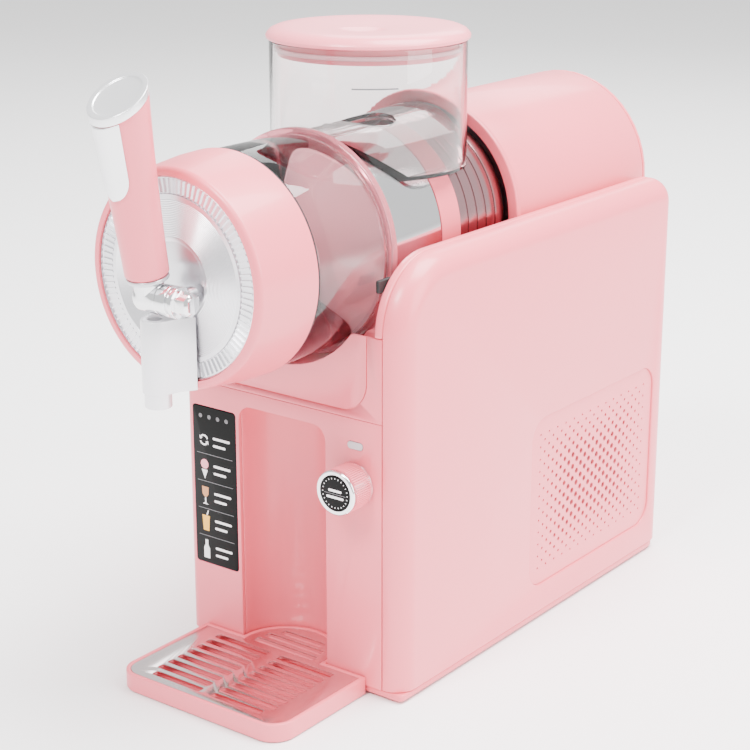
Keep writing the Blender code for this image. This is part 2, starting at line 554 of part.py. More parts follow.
def make_bowl(shop):
    axis = (DRUM_X, 0, DRUM_Z)
    inner = DISC_RADIUS + GAP
    profile = [
        (RING_REAR_RADIUS, RING_REAR), (RING_FRONT_RADIUS + 1.5, DISC_FRONT + 4), (RING_FRONT_RADIUS, DISC_FRONT + 1),
        (RING_FRONT_RADIUS - 1.5, DISC_FRONT), (inner, DISC_FRONT), (inner, RING_REAR),
    ]
    turned(shop, "front_ring", profile, "Y", axis, "pink_shell", "bowl", 56)
    back = DISC_FRONT + 5
    hub = 22
    profile = [(0, back), (DISC_RADIUS, back), (DISC_RADIUS, DISC_FRONT + 1), (hub, DISC_FRONT + 1), (hub, DISC_FRONT + 2.5), (0, DISC_FRONT + 2.5)]
    turned(shop, "front_disc", profile, "Y", axis, "steel", "bowl", 56)
    gasket = RING_REAR + GAP
    profile = [(RING_REAR_RADIUS - 0.5, gasket + GASKET_THICK), (RING_REAR_RADIUS - 0.5, gasket), (inner, gasket), (inner, gasket + GASKET_THICK)]
    turned(shop, "ring_gasket", profile, "Y", axis, "black_rubber", "bowl", 56)
    shell_front = gasket + GASKET_THICK + GAP
    bore = BOWL_RADIUS - BOWL_WALL
    profile = [(BOWL_RADIUS, FLANGE_FRONT - GAP), (BOWL_RADIUS, shell_front), (bore, shell_front), (bore, FLANGE_FRONT - GAP)]
    turned(shop, "bowl_shell", profile, "Y", axis, "clear_bowl", "bowl", 56)
    lip = DRUM_RADIUS - DRUM_WALL
    profile = [(FLANGE_RADIUS, FLANGE_REAR), (FLANGE_RADIUS, FLANGE_FRONT), (lip, FLANGE_FRONT), (lip, FLANGE_REAR)]
    turned(shop, "bowl_flange", profile, "Y", axis, "clear_bowl", "bowl", 56)

    face = DISC_FRONT - GAP
    nose = arc((DRUM_X, PIVOT_Y + 0.5), 9.2, 200, 340, 10)
    flank = [(17, face), (15, face - 3), (11, -103)]
    outline = [(DRUM_X - x, y) for x, y in flank] + nose + [(DRUM_X + x, y) for x, y in reversed(flank)]
    spout = shop.add("spout_body", prism(outline, "Z", SPOUT_BOTTOM + 9, SPOUT_TOP), "silver_plastic", "bowl")
    nozzle = rod("Z", (DRUM_X, PIVOT_Y + 0.5, 0), 8.2, SPOUT_BOTTOM, SPOUT_BOTTOM + 12, 24)
    cut(spout, shop.add("spout_nozzle", nozzle, None, "bowl"), "UNION")
    bore = rod("Z", (DRUM_X, PIVOT_Y, 0), PLUNGER_RADIUS + RUNNING, SPOUT_BOTTOM - 1, SPOUT_TOP + 1, 20)
    cut(spout, shop.add("spout_bore", bore, None, "bowl"))
    valve = rod("X", (0, PIVOT_Y, PIVOT_Z), 9.5, DRUM_X + 8.5, DRUM_X + 22, 24)
    valve = shop.add("valve_body", valve, "chrome", "bowl")
    stem = rod("Y", (DRUM_X + 15, 0, PIVOT_Z), 5.5, PIVOT_Y, face, 20)
    cut(valve, shop.add("valve_stem", stem, None, "bowl"), "UNION")
    tip = rod("X", (0, PIVOT_Y, PIVOT_Z), 7.5, DRUM_X + 21, DRUM_X + 31, 6)
    cut(valve, shop.add("valve_tip", tip, None, "bowl"), "UNION")
    pin_bore = rod("X", (0, PIVOT_Y, PIVOT_Z), PIN_RADIUS + GAP, DRUM_X, DRUM_X + 19, 20)
    cut(valve, shop.add("pin_bore", pin_bore, None, "bowl"))
    pin = rod("X", (0, PIVOT_Y, PIVOT_Z), PIN_RADIUS, HANDLE_X - 7, DRUM_X + 18, 20)
    shop.add("pivot_pin", pin, "chrome", "bowl")
    plunger = rod("Z", (DRUM_X, PIVOT_Y, 0), PLUNGER_RADIUS, SPOUT_BOTTOM + 8, SPOUT_TOP - 12, 20)
    shop.add("valve_plunger", plunger, "steel", "valve")


def grip_radius(height):
    t = (height - GRIP_FOOT) / (GRIP_TOP + 8 - GRIP_FOOT)
    return GRIP_FOOT_RADIUS + (GRIP_TOP_RADIUS - GRIP_FOOT_RADIUS) * min(1.0, 0.3 * t + 0.7 * t * t)


def sawn(bm, height, keep_below):
    """Cuts a solid along the slanted plane that crosses the grip's middle line at a height."""
    normal = Vector((0, -math.sin(TOP_SLANT), math.cos(TOP_SLANT))) * (1 if keep_below else -1)
    everything = bm.verts[:] + bm.edges[:] + bm.faces[:]
    edge = bmesh.ops.bisect_plane(bm, geom=everything, plane_co=(0, 0, height), plane_no=normal, clear_outer=True)
    bmesh.ops.holes_fill(bm, edges=[item for item in edge["geom_cut"] if isinstance(item, bmesh.types.BMEdge)])
    bmesh.ops.recalc_face_normals(bm, faces=bm.faces)
    return bm


def lofted(sections):
    """Joins rings of points, each with the same number of them, and closes both ends."""
    bm = bmesh.new()
    rings = [[bm.verts.new(point) for point in section] for section in sections]
    for lower, upper in zip(rings, rings[1:]):
        for i in range(len(lower)):
            j = (i + 1) % len(lower)
            bm.faces.new((lower[i], lower[j], upper[j], upper[i]))
    bm.faces.new(rings[0])
    bm.faces.new(rings[-1])
    bmesh.ops.recalc_face_normals(bm, faces=bm.faces)
    return bm


def circle(radius, height, sides=32):
    return [(x, y, height) for x, y in arc((0, 0), radius, 0, 360 - 360 / sides, sides - 1)]


def inlay_section(height, low):
    """A band round the grip's front with a raised flat along its middle. It narrows to a round end."""
    spread = INLAY_SPREAD
    rise = (height - low) / 13
    if rise < 1:
        spread *= math.sqrt(max(0.12, 1 - (1 - rise) ** 2))
    near = grip_radius(height) + GAP
    inner = arc((0, 0), near, 270 + spread, 270 - spread, 8)
    flat = near + 1.5
    outer = arc((0, 0), flat, 270 - spread * 0.3, 270 + spread * 0.3, 2)
    ends = arc((0, 0), near + 0.6, 270 - spread, 270 + spread, 1)
    return [(x, y, height) for x, y in [*inner, ends[0], *outer, ends[1]]]


def make_handle(shop):
    pivot = (HANDLE_X, PIVOT_Y, PIVOT_Z)
    lean = (LEAN, 0, 0)
    profile = [(0, 10.5), (YOKE_RADIUS, 10.5), (YOKE_RADIUS, -7), (YOKE_RADIUS - 2.8, -9.6), (0, -9.6)]
    yoke = turned(shop, "handle_yoke", profile, "X", pivot, "chrome", "handle", 28)
    neck_top = YOKE_RADIUS + 0.3
    cut(yoke, shop.add("yoke_neck", rod("Z", (0, 0, 0), 9.1, 0, neck_top, 24), None, "handle", pivot, lean), "UNION")
    bore = rod("X", (0, 0, 0), PIN_RADIUS + RUNNING, -7.5, 12, 20)
    cut(yoke, shop.add("yoke_bore", bore, None, "handle", pivot))
    foot = neck_top + GAP
    top = GRIP_FOOT - GAP
    profile = [(0, top), (12.6, top), (12.9, top - 2), (10, foot), (0, foot)]
    turned(shop, "handle_ferrule", profile, "Z", pivot, "silver_plastic", "handle", 28, lean)

    heights = [GRIP_FOOT + 2, *[GRIP_FOOT + (GRIP_TOP + 9 - GRIP_FOOT) * i / 8 for i in range(1, 9)]]
    rings = [circle(GRIP_FOOT_RADIUS - 1.5, GRIP_FOOT), *[circle(grip_radius(z), z) for z in heights]]
    grip = sawn(lofted(rings), GRIP_TOP, True)
    shop.add("handle_grip", grip, "pink_shell", "handle", pivot, lean)
    base = GRIP_TOP + GAP / math.cos(TOP_SLANT)
    rim = GRIP_TOP_RADIUS
    cap = sawn(lofted([circle(rim, GRIP_TOP - 12), circle(rim, GRIP_TOP + 20)]), base, False)
    cap = sawn(cap, base + CAP_THICK, True)
    shop.add("handle_cap", cap, "silver_plastic", "handle", pivot, lean)
    front_top = GRIP_TOP - GRIP_TOP_RADIUS * math.tan(TOP_SLANT)
    low = front_top - INLAY_LENGTH
    heights = [low + 0.2, low + 2, low + 5, low + 9, low + 13, *[low + 13 + (INLAY_LENGTH + 8 - 13) * i / 5 for i in range(1, 6)]]
    inlay = sawn(lofted([inlay_section(z, low) for z in heights]), GRIP_TOP - GAP, True)
    shop.add("handle_inlay", inlay, "silver_plastic", "handle", pivot, lean)


def make_hopper(shop):
    centre = (DRUM_X, HOPPER_Y, 0)
    shell = shop.add("hopper_shell", rod("Z", centre, HOPPER_RADIUS, HOPPER_BASE, HOPPER_RIM, 56), "clear_bowl", "hopper")
    hollow = rod("Z", centre, HOPPER_RADIUS - HOPPER_WALL, HOPPER_BASE + HOPPER_WALL, HOPPER_RIM + 1, 56)
    hollow = shop.add("hopper_hollow", hollow, None, "hopper")
    reach = HOPPER_RADIUS + 5
    seat = DRUM_RADIUS + GAP
    floor = rod("Y", (DRUM_X, 0, DRUM_Z), seat + HOPPER_WALL, HOPPER_Y - reach, HOPPER_Y + reach, 56)
    cut(hollow, shop.add("hopper_floor", floor, None, "hopper"))
    cut(shell, hollow)
    saddle = rod("Y", (DRUM_X, 0, DRUM_Z), seat, HOPPER_Y - reach - 1, HOPPER_Y + reach + 1, 56)
    cut(shell, shop.add("hopper_saddle", saddle, None, "hopper"))
    outlet = rod("Z", centre, PORT_RADIUS, DRUM_Z, HOPPER_RIM, 24)
    cut(shell, shop.add("hopper_outlet", outlet, None, "hopper"))

    inside = HOPPER_RADIUS - HOPPER_WALL
    skirt = HOPPER_RIM - LID_SKIRT
    seat = inside - 2.4
    profile = [
        (0, LID_TOP - 1), (LID_RIM - 12, LID_TOP), (LID_RIM - 2, HOPPER_RIM + 4.5), (LID_RIM, HOPPER_RIM + 3),
        (LID_RIM, HOPPER_RIM + GAP), (seat, HOPPER_RIM + GAP), (seat, skirt), (seat - WALL, skirt),
        (seat - WALL, HOPPER_RIM + 2), (0, HOPPER_RIM + 4),
    ]
    turned(shop, "hopper_lid", profile, "Z", centre, "pink_shell", "lid", 56)
    seal_low = skirt + 3
    profile = [(inside - GAP, seal_low + 3), (inside - GAP, seal_low), (seat + GAP, seal_low), (seat + GAP, seal_low + 3)]
    turned(shop, "lid_seal", profile, "Z", centre, "white_plastic", "lid", 56)


def make_controls(shop):
    place = (KNOB_X, 0, KNOB_Z)
    face = KNOB_FRONT
    well = 6.0
    profile = [
        (0, WALL + 5), (5, WALL + 5), (5, -0.4), (KNOB_RADIUS, -0.4), (KNOB_RADIUS, face + 1.2), (KNOB_RADIUS - 1.2, face),
        (KNOB_RADIUS - 3, face), (KNOB_RADIUS - 3, -well), (0, -well),
    ]
    turned(shop, "control_knob", profile, "Y", place, "silver_plastic", "knob", 40)
    radius = KNOB_RADIUS - 3 - GAP
    travel = 2.0
    profile = [(0, -well - travel), (radius, -well - travel), (radius, face + 0.6), (radius - 0.6, face + 0.2), (0, face + 0.2)]
    turned(shop, "knob_screen", profile, "Y", place, "black_gloss", "knob_button", 40)
    latch = block((INNER_X - GAP - 2.6, 6, 270), (INNER_X - GAP, 20, 278), 0.5, 1)
    shop.add("bowl_latch", latch, "black_rubber", "latch")


def tray_outline(inset, tongue_inset):
    """The tray from above: soft front corners, straight sides and a round tongue at the back."""
    left, right = RECESS_X - TRAY_WIDTH / 2 + inset, RECESS_X + TRAY_WIDTH / 2 - inset
    back = -0.6 - inset
    tongue = RECESS_RADIUS - 1 - tongue_inset
    bulge = math.degrees(math.asin(-back / tongue))
    return [
        *arc((left + TRAY_ROUND - inset, -TRAY_DEPTH + TRAY_ROUND), TRAY_ROUND - inset, 180, 270, 5),
        *arc((right - TRAY_ROUND + inset, -TRAY_DEPTH + TRAY_ROUND), TRAY_ROUND - inset, 270, 360, 5),
        (right, back), *arc((RECESS_X, 0), tongue, -bulge, 180 + bulge, 14), (left, back),
    ]


def make_tray(shop):
    tray = shop.add("drip_tray", prism(tray_outline(0, 0), "Z", TRAY_BOTTOM, TRAY_TOP), "pink_shell", "tray")
    grid_seat = TRAY_TOP - GRID_THICK - 0.6
    opening = prism(tray_outline(TRAY_RIM, TRAY_RIM), "Z", grid_seat, TRAY_TOP + 1)
    cut(tray, shop.add("grid_seat", opening, None, "tray"))
    inset = TRAY_RIM + TRAY_LEDGE
    low = (RECESS_X - TRAY_WIDTH / 2 + inset, -TRAY_DEPTH + inset)
    high = (RECESS_X + TRAY_WIDTH / 2 - inset, -inset)
    pan = prism(rounded(low, high, [TRAY_ROUND - inset] * 4, 3), "Z", TRAY_BOTTOM + 2, grid_seat + 1)
    cut(tray, shop.add("tray_pan", pan, None, "tray"))
    under = block((RECESS_X - TRAY_WIDTH, -0.6, TRAY_BOTTOM - 1), (RECESS_X + TRAY_WIDTH, RECESS_RADIUS + 5, SHELL_LOW + GAP))
    cut(tray, shop.add("tongue_step", under, None, "tray"))

    fit = TRAY_RIM + GAP
    low = grid_seat + GAP
    grid = shop.add("drip_grid", prism(tray_outline(fit, fit), "Z", low, low + GRID_THICK), "steel", "grid")
    pitch = 9.4
    spine = 5.0
    reach = TRAY_WIDTH / 2 - 13
    for row in range(GRID_ROWS):
        y = -TRAY_DEPTH + 9.5 + row * pitch
        for side, sign in (("left", -1), ("right", 1)):
            ends = sorted((RECESS_X + sign * spine, RECESS_X + sign * reach))
            slot = block((ends[0], y, low - 1), (ends[1], y + 5.4, low + GRID_THICK + 1))
            cut(grid, shop.add(f"grid_slot_{side}_{row + 1}", slot, None, "grid"))


def stand_on_origin(shop):
    """Moves the machine so that its box stands on the origin, centred in X and Y."""
    bpy.context.view_layer.update()
    graph = bpy.context.evaluated_depsgraph_get()
    corners = []
    for obj in shop.parts.objects:
        if obj.type == "MESH":
            evaluated = obj.evaluated_get(graph)
            corners += [evaluated.matrix_world @ Vector(corner) for corner in evaluated.bound_box]
    low = [min(corner[i] for corner in corners) for i in range(3)]
    high = [max(corner[i] for corner in corners) for i in range(3)]
    shop.machine.location = (-(low[0] + high[0]) / 2, -(low[1] + high[1]) / 2, -low[2])
    bpy.context.view_layer.update()


def main():
    shop = Workshop()
    make_base(shop)
    make_tower(shop)
    make_front(shop)
    make_body_shells(shop)
    make_plant(shop)
    make_drum(shop)
    make_auger(shop)
    make_bowl(shop)
    make_handle(shop)
    make_hopper(shop)
    make_controls(shop)
    make_tray(shop)
    stand_on_origin(shop)
    for name, body in shop.bodies.items():
        print(name, [round(value, 5) for value in body.matrix_world.translation])


main()
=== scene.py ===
"""Looks of a home soft-serve and slush machine with a horizontal freezing drum.

Each sub-assembly is a class that takes its place and size from the fixed frame, builds fine
meshes for the pieces that show, and dresses them in procedural finishes.
"""

import json
import logging
import math
from dataclasses import dataclass, field
from enum import Enum
from typing import Any, Callable, Iterable, Sequence

import bmesh
import bpy
from mathutils import Matrix, Vector


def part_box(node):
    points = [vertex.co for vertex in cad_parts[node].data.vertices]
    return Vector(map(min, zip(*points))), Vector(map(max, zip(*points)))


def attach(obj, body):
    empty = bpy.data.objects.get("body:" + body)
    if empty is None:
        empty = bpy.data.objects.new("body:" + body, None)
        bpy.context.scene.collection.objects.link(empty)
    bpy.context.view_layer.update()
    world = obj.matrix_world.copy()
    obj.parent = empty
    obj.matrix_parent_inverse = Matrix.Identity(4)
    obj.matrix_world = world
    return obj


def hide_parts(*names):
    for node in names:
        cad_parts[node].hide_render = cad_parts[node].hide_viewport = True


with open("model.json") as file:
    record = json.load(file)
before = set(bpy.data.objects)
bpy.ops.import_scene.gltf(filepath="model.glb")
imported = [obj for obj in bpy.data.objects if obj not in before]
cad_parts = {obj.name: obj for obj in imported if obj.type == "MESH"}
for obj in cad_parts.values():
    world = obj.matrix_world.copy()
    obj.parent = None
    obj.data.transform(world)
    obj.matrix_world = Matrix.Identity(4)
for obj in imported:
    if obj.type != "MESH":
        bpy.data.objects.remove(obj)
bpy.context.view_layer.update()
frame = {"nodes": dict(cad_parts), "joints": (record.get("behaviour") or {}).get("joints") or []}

logging.basicConfig(level=logging.INFO, format="%(name)s: %(message)s")
LOG = logging.getLogger("machine")

MM = 0.001
FIT = 0.3 * MM           # gap between touching pieces
PORT_RADIUS = 18 * MM    # hopper's outlet and the hole below it
SMOOTH_ANGLE = math.radians(32)
Outline = list[tuple[float, float]]
Profile = Sequence[tuple[float, float]]
Piece = bpy.types.Object
Form = bmesh.types.BMesh
Node = bpy.types.Node
Socket = bpy.types.NodeSocket
Tree = bpy.types.NodeTree


# ---------------------------------------------------------------- colours and nodes


def linear(hex_colour: str) -> tuple[float, float, float, float]:
    """Turns an sRGB hex colour to linear light.

    Args:
        hex_colour: Six hex digits, with or without a hash.

    Returns:
        Linear red, green, blue and an alpha of one.
    """
    digits = hex_colour.lstrip("#")
    channels = [int(digits[i : i + 2], 16) / 255 for i in (0, 2, 4)]
    straight = [c / 12.92 if c <= 0.04045 else ((c + 0.055) / 1.055) ** 2.4 for c in channels]
    return (straight[0], straight[1], straight[2], 1.0)


def add_node(tree: Tree, kind: str, settings: dict[str, Any], links: dict[Any, Any]) -> Node:
    """Adds a node to a shader or geometry tree.

    Args:
        tree: The tree to add to.
        kind: The node's type name.
        settings: Attributes of the node itself.
        links: For each input, by name or number, a socket to link from or a value to set.

    Returns:
        The new node.
    """
    node = tree.nodes.new(kind)
    for name, value in settings.items():
        setattr(node, name, value)
    for name, value in links.items():
        if isinstance(value, Socket):
            tree.links.new(value, node.inputs[name])
        else:
            node.inputs[name].default_value = value
    return node


class Surface(Enum):
    """How a surface was made, which sets the pattern that is laid over it."""

    MOULDED = "moulded"      # fine even texture from a steel mould
    TURNED = "turned"        # concentric tool lines about the drum's axis
    BRUSHED = "brushed"      # straight lines along X
    POLISHED = "polished"    # only the faintest waviness
    CLEAR = "clear"          # moulded clear plastic
    CAST = "cast"            # coarse, as on castings, rubber and painted iron
    FINNED = "finned"        # thin stacked plates


@dataclass(frozen=True)
class Finish:
    """A real material and the way its surface was made.

    Attributes:
        name: The material's common name.
        colour: Its own colour, as sRGB hex.
        surface: How it was made.
        roughness: Microsurface roughness.
        metallic: One for metals.
        coat: Strength of a clear glossy skin.
        transmission: One for clear plastic and glass.
        ior: Index of refraction.
        grain_mm: Real spacing of the pattern.
        depth: Height of the pattern, in millimetres.
        shift: How far the colour drifts over the surface.
        sheen: Level of the plain reflection, half for the usual one.
    """

    name: str
    colour: str
    surface: Surface
    roughness: float
    metallic: float = 0.0
    coat: float = 0.0
    transmission: float = 0.0
    ior: float = 1.5
    grain_mm: float = 1.0
    depth: float = 0.02
    shift: float = 0.03
    sheen: float = 0.5

    def material(self) -> bpy.types.Material:
        """Builds the procedural material, or gives the one already built.

        Returns:
            The material, named as the finish is.
        """
        ready = bpy.data.materials.get(self.name)
        if ready:
            return ready
        material = bpy.data.materials.new(self.name)
        material.use_nodes = True
        tree = material.node_tree
        shader = tree.nodes["Principled BSDF"]
        shader.inputs["Metallic"].default_value = self.metallic
        shader.inputs["IOR"].default_value = self.ior
        shader.inputs["Specular IOR Level"].default_value = self.sheen
        shader.inputs["Coat Weight"].default_value = self.coat
        shader.inputs["Coat Roughness"].default_value = 0.08
        shader.inputs["Transmission Weight"].default_value = self.transmission
        place = add_node(tree, "ShaderNodeTexCoord", {}, {}).outputs["Object"]
        broad = add_node(tree, "ShaderNodeTexNoise", {}, {"Vector": place, "Scale": 9.0, "Detail": 2.0})
        self._colour(tree, shader, broad.outputs["Fac"])
        self._roughness(tree, shader, place)
        height = self._pattern(tree, place)
        bump = add_node(
            tree, "ShaderNodeBump", {}, {"Height": height, "Strength": 0.5, "Distance": self.depth * MM}
        )
        tree.links.new(bump.outputs["Normal"], shader.inputs["Normal"])
        return material

    def _colour(self, tree: Tree, shader: Node, drift: Socket) -> None:
        """Lets the colour drift a little between a darker and a lighter tone.

        Args:
            tree: The material's tree.
            shader: Its surface node.
            drift: A broad slow noise.
        """
        base = linear(self.colour)
        dark = [channel * (1 - self.shift) for channel in base[:3]] + [1.0]
        light = [min(1.0, channel * (1 + self.shift)) for channel in base[:3]] + [1.0]
        mix = add_node(tree, "ShaderNodeMix", {"data_type": "RGBA"}, {0: drift, 6: dark, 7: light})
        tree.links.new(mix.outputs[2], shader.inputs["Base Color"])

    def _roughness(self, tree: Tree, shader: Node, place: Socket) -> None:
        """Varies the gloss as handling and moulding do.

        Args:
            tree: The material's tree.
            shader: Its surface node.
            place: The point on the piece.
        """
        patches = add_node(tree, "ShaderNodeTexNoise", {}, {"Vector": place, "Scale": 60.0, "Detail": 3.0})
        spread = add_node(
            tree,
            "ShaderNodeMapRange",
            {},
            {
                "Value": patches.outputs["Fac"],
                "To Min": self.roughness * 0.88,
                "To Max": self.roughness * 1.12,
            },
        )
        tree.links.new(spread.outputs["Result"], shader.inputs["Roughness"])

    def _pattern(self, tree: Tree, place: Socket) -> Socket:
        """Gives the height of the pattern that the surface's making leaves.

        Args:
            tree: The material's tree.
            place: The point on the piece.

        Returns:
            The height, from nought to one.
        """
        per_metre = 1.0 / (self.grain_mm * MM)
        if self.surface is Surface.TURNED:
            moved = {"Vector": place, "Location": -drum_point()}
            centred = add_node(tree, "ShaderNodeMapping", {"vector_type": "POINT"}, moved)
            rings = {"wave_type": "RINGS", "rings_direction": "Y", "wave_profile": "SIN"}
            values = {"Vector": centred.outputs[0], "Scale": per_metre / 20}
            values |= {"Distortion": 0.6, "Detail Scale": 2.0}
            return add_node(tree, "ShaderNodeTexWave", rings, values).outputs["Fac"]
        if self.surface is Surface.BRUSHED:
            drawn = add_node(tree, "ShaderNodeMapping", {}, {"Vector": place, "Scale": (0.04, 1.0, 1.0)})
            lines = {"Vector": drawn.outputs[0], "Scale": per_metre, "Detail": 4.0}
            return add_node(tree, "ShaderNodeTexNoise", {}, lines).outputs["Fac"]
        if self.surface is Surface.FINNED:
            plates = {"wave_type": "BANDS", "bands_direction": "Y", "wave_profile": "SAW"}
            values = {"Vector": place, "Scale": per_metre / 20}
            return add_node(tree, "ShaderNodeTexWave", plates, values).outputs["Fac"]
        detail = 6.0 if self.surface is Surface.CAST else 2.0
        return add_node(
            tree, "ShaderNodeTexNoise", {}, {"Vector": place, "Scale": per_metre, "Detail": detail}
        ).outputs["Fac"]


def satin_abs(tone: str, colour: str, roughness: float, coat: float, depth: float = 0.012) -> Finish:
    """One colour of the moulded plastic that makes the body.

    Args:
        tone: The colour's plain name.
        colour: The colour, as sRGB hex.
        roughness: Microsurface roughness.
        coat: Strength of the glossy skin.
        depth: Height of the mould's texture, in millimetres.

    Returns:
        The finish.
    """
    name = f"satin_moulded_abs_{tone}"
    return Finish(
        name, colour, Surface.MOULDED, roughness, coat=coat, grain_mm=0.9, depth=depth, shift=0.01
    )


def screen_print(tone: str, colour: str) -> Finish:
    """One colour of matt ink, printed on a screen's glass."""
    return Finish(f"screen_print_{tone}", colour, Surface.MOULDED, 0.5, grain_mm=0.6, depth=0.004)


class Finishes:
    """Every finish on the machine."""

    # ABS mouldings with a satin sheen: soft highlights, and a grain seen only at the edges of them.
    PINK = satin_abs("pink", "EC6C7A", 0.36, 0.18)
    PINK_DEEP = satin_abs("rose", "E46472", 0.36, 0.15)
    PINK_PALE = satin_abs("blush", "F58290", 0.34, 0.2, depth=0.01)
    # Clear copolyester: hard, bright reflections and almost no colour of its own.
    CLEAR = Finish(
        "clear_copolyester", "FBF6F6", Surface.CLEAR, 0.03,
        transmission=1.0, ior=1.45, grain_mm=12.0, depth=0.02, shift=0.0,
    )
    ROSE_CLEAR = Finish(
        "rose_tinted_copolyester", "F29AA6", Surface.CLEAR, 0.06,
        transmission=0.75, ior=1.45, grain_mm=12.0, depth=0.02,
    )
    # Stainless steel spun on a lathe: rings of tool lines spread the highlights across them.
    SPUN_STEEL = Finish(
        "spun_stainless_steel", "ECEBEF", Surface.TURNED, 0.3,
        metallic=1.0, grain_mm=1.1, depth=0.02,
    )
    MIRROR_STEEL = Finish(
        "polished_stainless_steel", "E4E4E6", Surface.POLISHED, 0.1,
        metallic=1.0, grain_mm=14.0, depth=0.03,
    )
    ROSE_STEEL = Finish(
        "rolled_steel_over_foam", "B58E92", Surface.TURNED, 0.22,
        metallic=1.0, grain_mm=1.4, depth=0.03,
    )
    GRID_STEEL = Finish(
        "pressed_stainless_steel", "E3D6D6", Surface.BRUSHED, 0.22,
        metallic=1.0, grain_mm=0.5, depth=0.012,
    )
    # Chrome plate on a zinc casting: mirror bright, with the slight waves of the casting below.
    CHROME = Finish(
        "chrome_plate", "EDEDEF", Surface.POLISHED, 0.06,
        metallic=1.0, grain_mm=9.0, depth=0.03, shift=0.01,
    )
    SATIN_SILVER = Finish(
        "satin_silver_lacquer", "CFCFD2", Surface.BRUSHED, 0.28,
        metallic=0.85, grain_mm=0.35, depth=0.01,
    )
    BRIGHT_CAP = Finish(
        "brushed_aluminium_cap", "F1F1F3", Surface.BRUSHED, 0.26,
        metallic=0.75, grain_mm=0.3, depth=0.012,
    )
    BLACK_GLASS = Finish(
        "black_cover_glass", "030303", Surface.POLISHED, 0.12,
        grain_mm=20.0, depth=0.005, shift=0.0, sheen=0.12,
    )
    RUBBER = Finish("black_silicone_rubber", "161617", Surface.CAST, 0.62, grain_mm=0.8, depth=0.04)
    NYLON = Finish(
        "blush_food_grade_nylon", "F0B4BC", Surface.MOULDED, 0.22,
        coat=0.5, grain_mm=1.2, depth=0.015,
    )
    FROSTED = Finish(
        "pearl_silver_plastic", "E6E4E8", Surface.MOULDED, 0.2,
        metallic=0.35, coat=0.4, grain_mm=2.0, depth=0.02,
    )
    IRON = Finish("black_enamelled_iron", "1B1B1D", Surface.CAST, 0.42, grain_mm=1.5, depth=0.05)
    FINS = Finish(
        "aluminium_fin_stack", "B9BBBF", Surface.FINNED, 0.4,
        metallic=1.0, grain_mm=1.6, depth=0.4,
    )
    BOARD = Finish("green_solder_resist", "1F5B3C", Surface.CAST, 0.45, coat=0.3, grain_mm=2.5, depth=0.05)
    LENS = Finish("smoked_light_guide", "BDB4B7", Surface.POLISHED, 0.2, coat=0.5, grain_mm=8.0, depth=0.01)
    INK_WHITE = screen_print("white", "F2F2F2")
    INK_GREY = screen_print("grey", "6B6B6E")
    INK_PINK = screen_print("pink", "F59BA8")
    INK_AMBER = screen_print("amber", "F4B73E")
    INK_BROWN = screen_print("brown", "C98A5A")
    FLOOR = Finish("studio_paper", "F4F3F3", Surface.MOULDED, 0.9, grain_mm=4.0, depth=0.0, shift=0.0)


# ---------------------------------------------------------------- places


def joint_point(name: str) -> Vector:
    """The place of a joint in the frame, in metres."""
    joint = next(joint for joint in frame["joints"] if joint["name"] == name)
    return Vector(joint["pos_m"])


def drum_point() -> Vector:
    """A point on the drum's centre line."""
    return joint_point("auger_spin")


def drum_axis() -> Vector:
    """The drum's centre line where it crosses the plane Y = 0."""
    return Vector((drum_point().x, 0, drum_point().z))


def span(node: str) -> tuple[Vector, Vector]:
    """Lowest and highest corner of a node at rest."""
    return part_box(node)


def middle(node: str) -> Vector:
    """Centre of a node's box."""
    low, high = span(node)
    return (low + high) / 2


# ---------------------------------------------------------------- mesh work


def to_object(name: str, bm: Form) -> Piece:
    """Makes an object at the origin of a bmesh, shaded smooth with sharp edges kept.

    Args:
        name: The piece's name.
        bm: Its mesh, which is freed.

    Returns:
        The linked object.
    """
    mesh = bpy.data.meshes.new(name)
    bm.to_mesh(mesh)
    bm.free()
    piece = bpy.data.objects.new(name, mesh)
    bpy.context.scene.collection.objects.link(piece)
    mesh.shade_smooth()
    mesh.set_sharp_from_angle(angle=SMOOTH_ANGLE)
    return piece


def settle(piece: Piece) -> Piece:
    """Turns a piece's modifiers into its mesh, and keeps its sharp edges.

    Args:
        piece: An object whose modifiers are live.

    Returns:
        The same object with a plain mesh.
    """
    graph = bpy.context.evaluated_depsgraph_get()
    mesh = bpy.data.meshes.new_from_object(piece.evaluated_get(graph))
    piece.modifiers.clear()
    piece.data = mesh
    mesh.shade_smooth()
    mesh.set_sharp_from_angle(angle=SMOOTH_ANGLE)
    return piece


def soften(piece: Piece, width_mm: float, segments: int = 3, angle: float = 35) -> Piece:
    """Rounds a piece's sharp edges.

    Args:
        piece: The object.
        width_mm: Width of the rounding.
        segments: Steps across it.
        angle: Edges sharper than this many degrees are rounded.

    Returns:
        The same object with a plain mesh.
    """
    bevel = piece.modifiers.new("soft_edges", "BEVEL")
    bevel.width = width_mm * MM
    bevel.segments = segments
    bevel.limit_method = "ANGLE"
    bevel.angle_limit = math.radians(angle)
    bevel.miter_outer = "MITER_ARC"
    return settle(piece)


def carve(piece: Piece, cutters: Iterable[Piece], operation: str = "DIFFERENCE") -> Piece:
    """Cuts or joins helper solids into a piece, and removes the helpers.

    Args:
        piece: The object to change.
        cutters: Closed helper solids.
        operation: DIFFERENCE, UNION or INTERSECT.

    Returns:
        The same object with a plain mesh.
    """
    used = list(cutters)
    for cutter in used:
        boolean = piece.modifiers.new("carve", "BOOLEAN")
        boolean.operation = operation
        boolean.object = cutter
        boolean.solver = "EXACT"
    settle(piece)
    for cutter in used:
        bpy.data.objects.remove(cutter, do_unlink=True)
    return piece


AXES = {
    "X": Matrix.Rotation(math.pi / 2, 4, "Y"),
    "Y": Matrix.Rotation(-math.pi / 2, 4, "X"),
    "Z": Matrix.Identity(4),
}


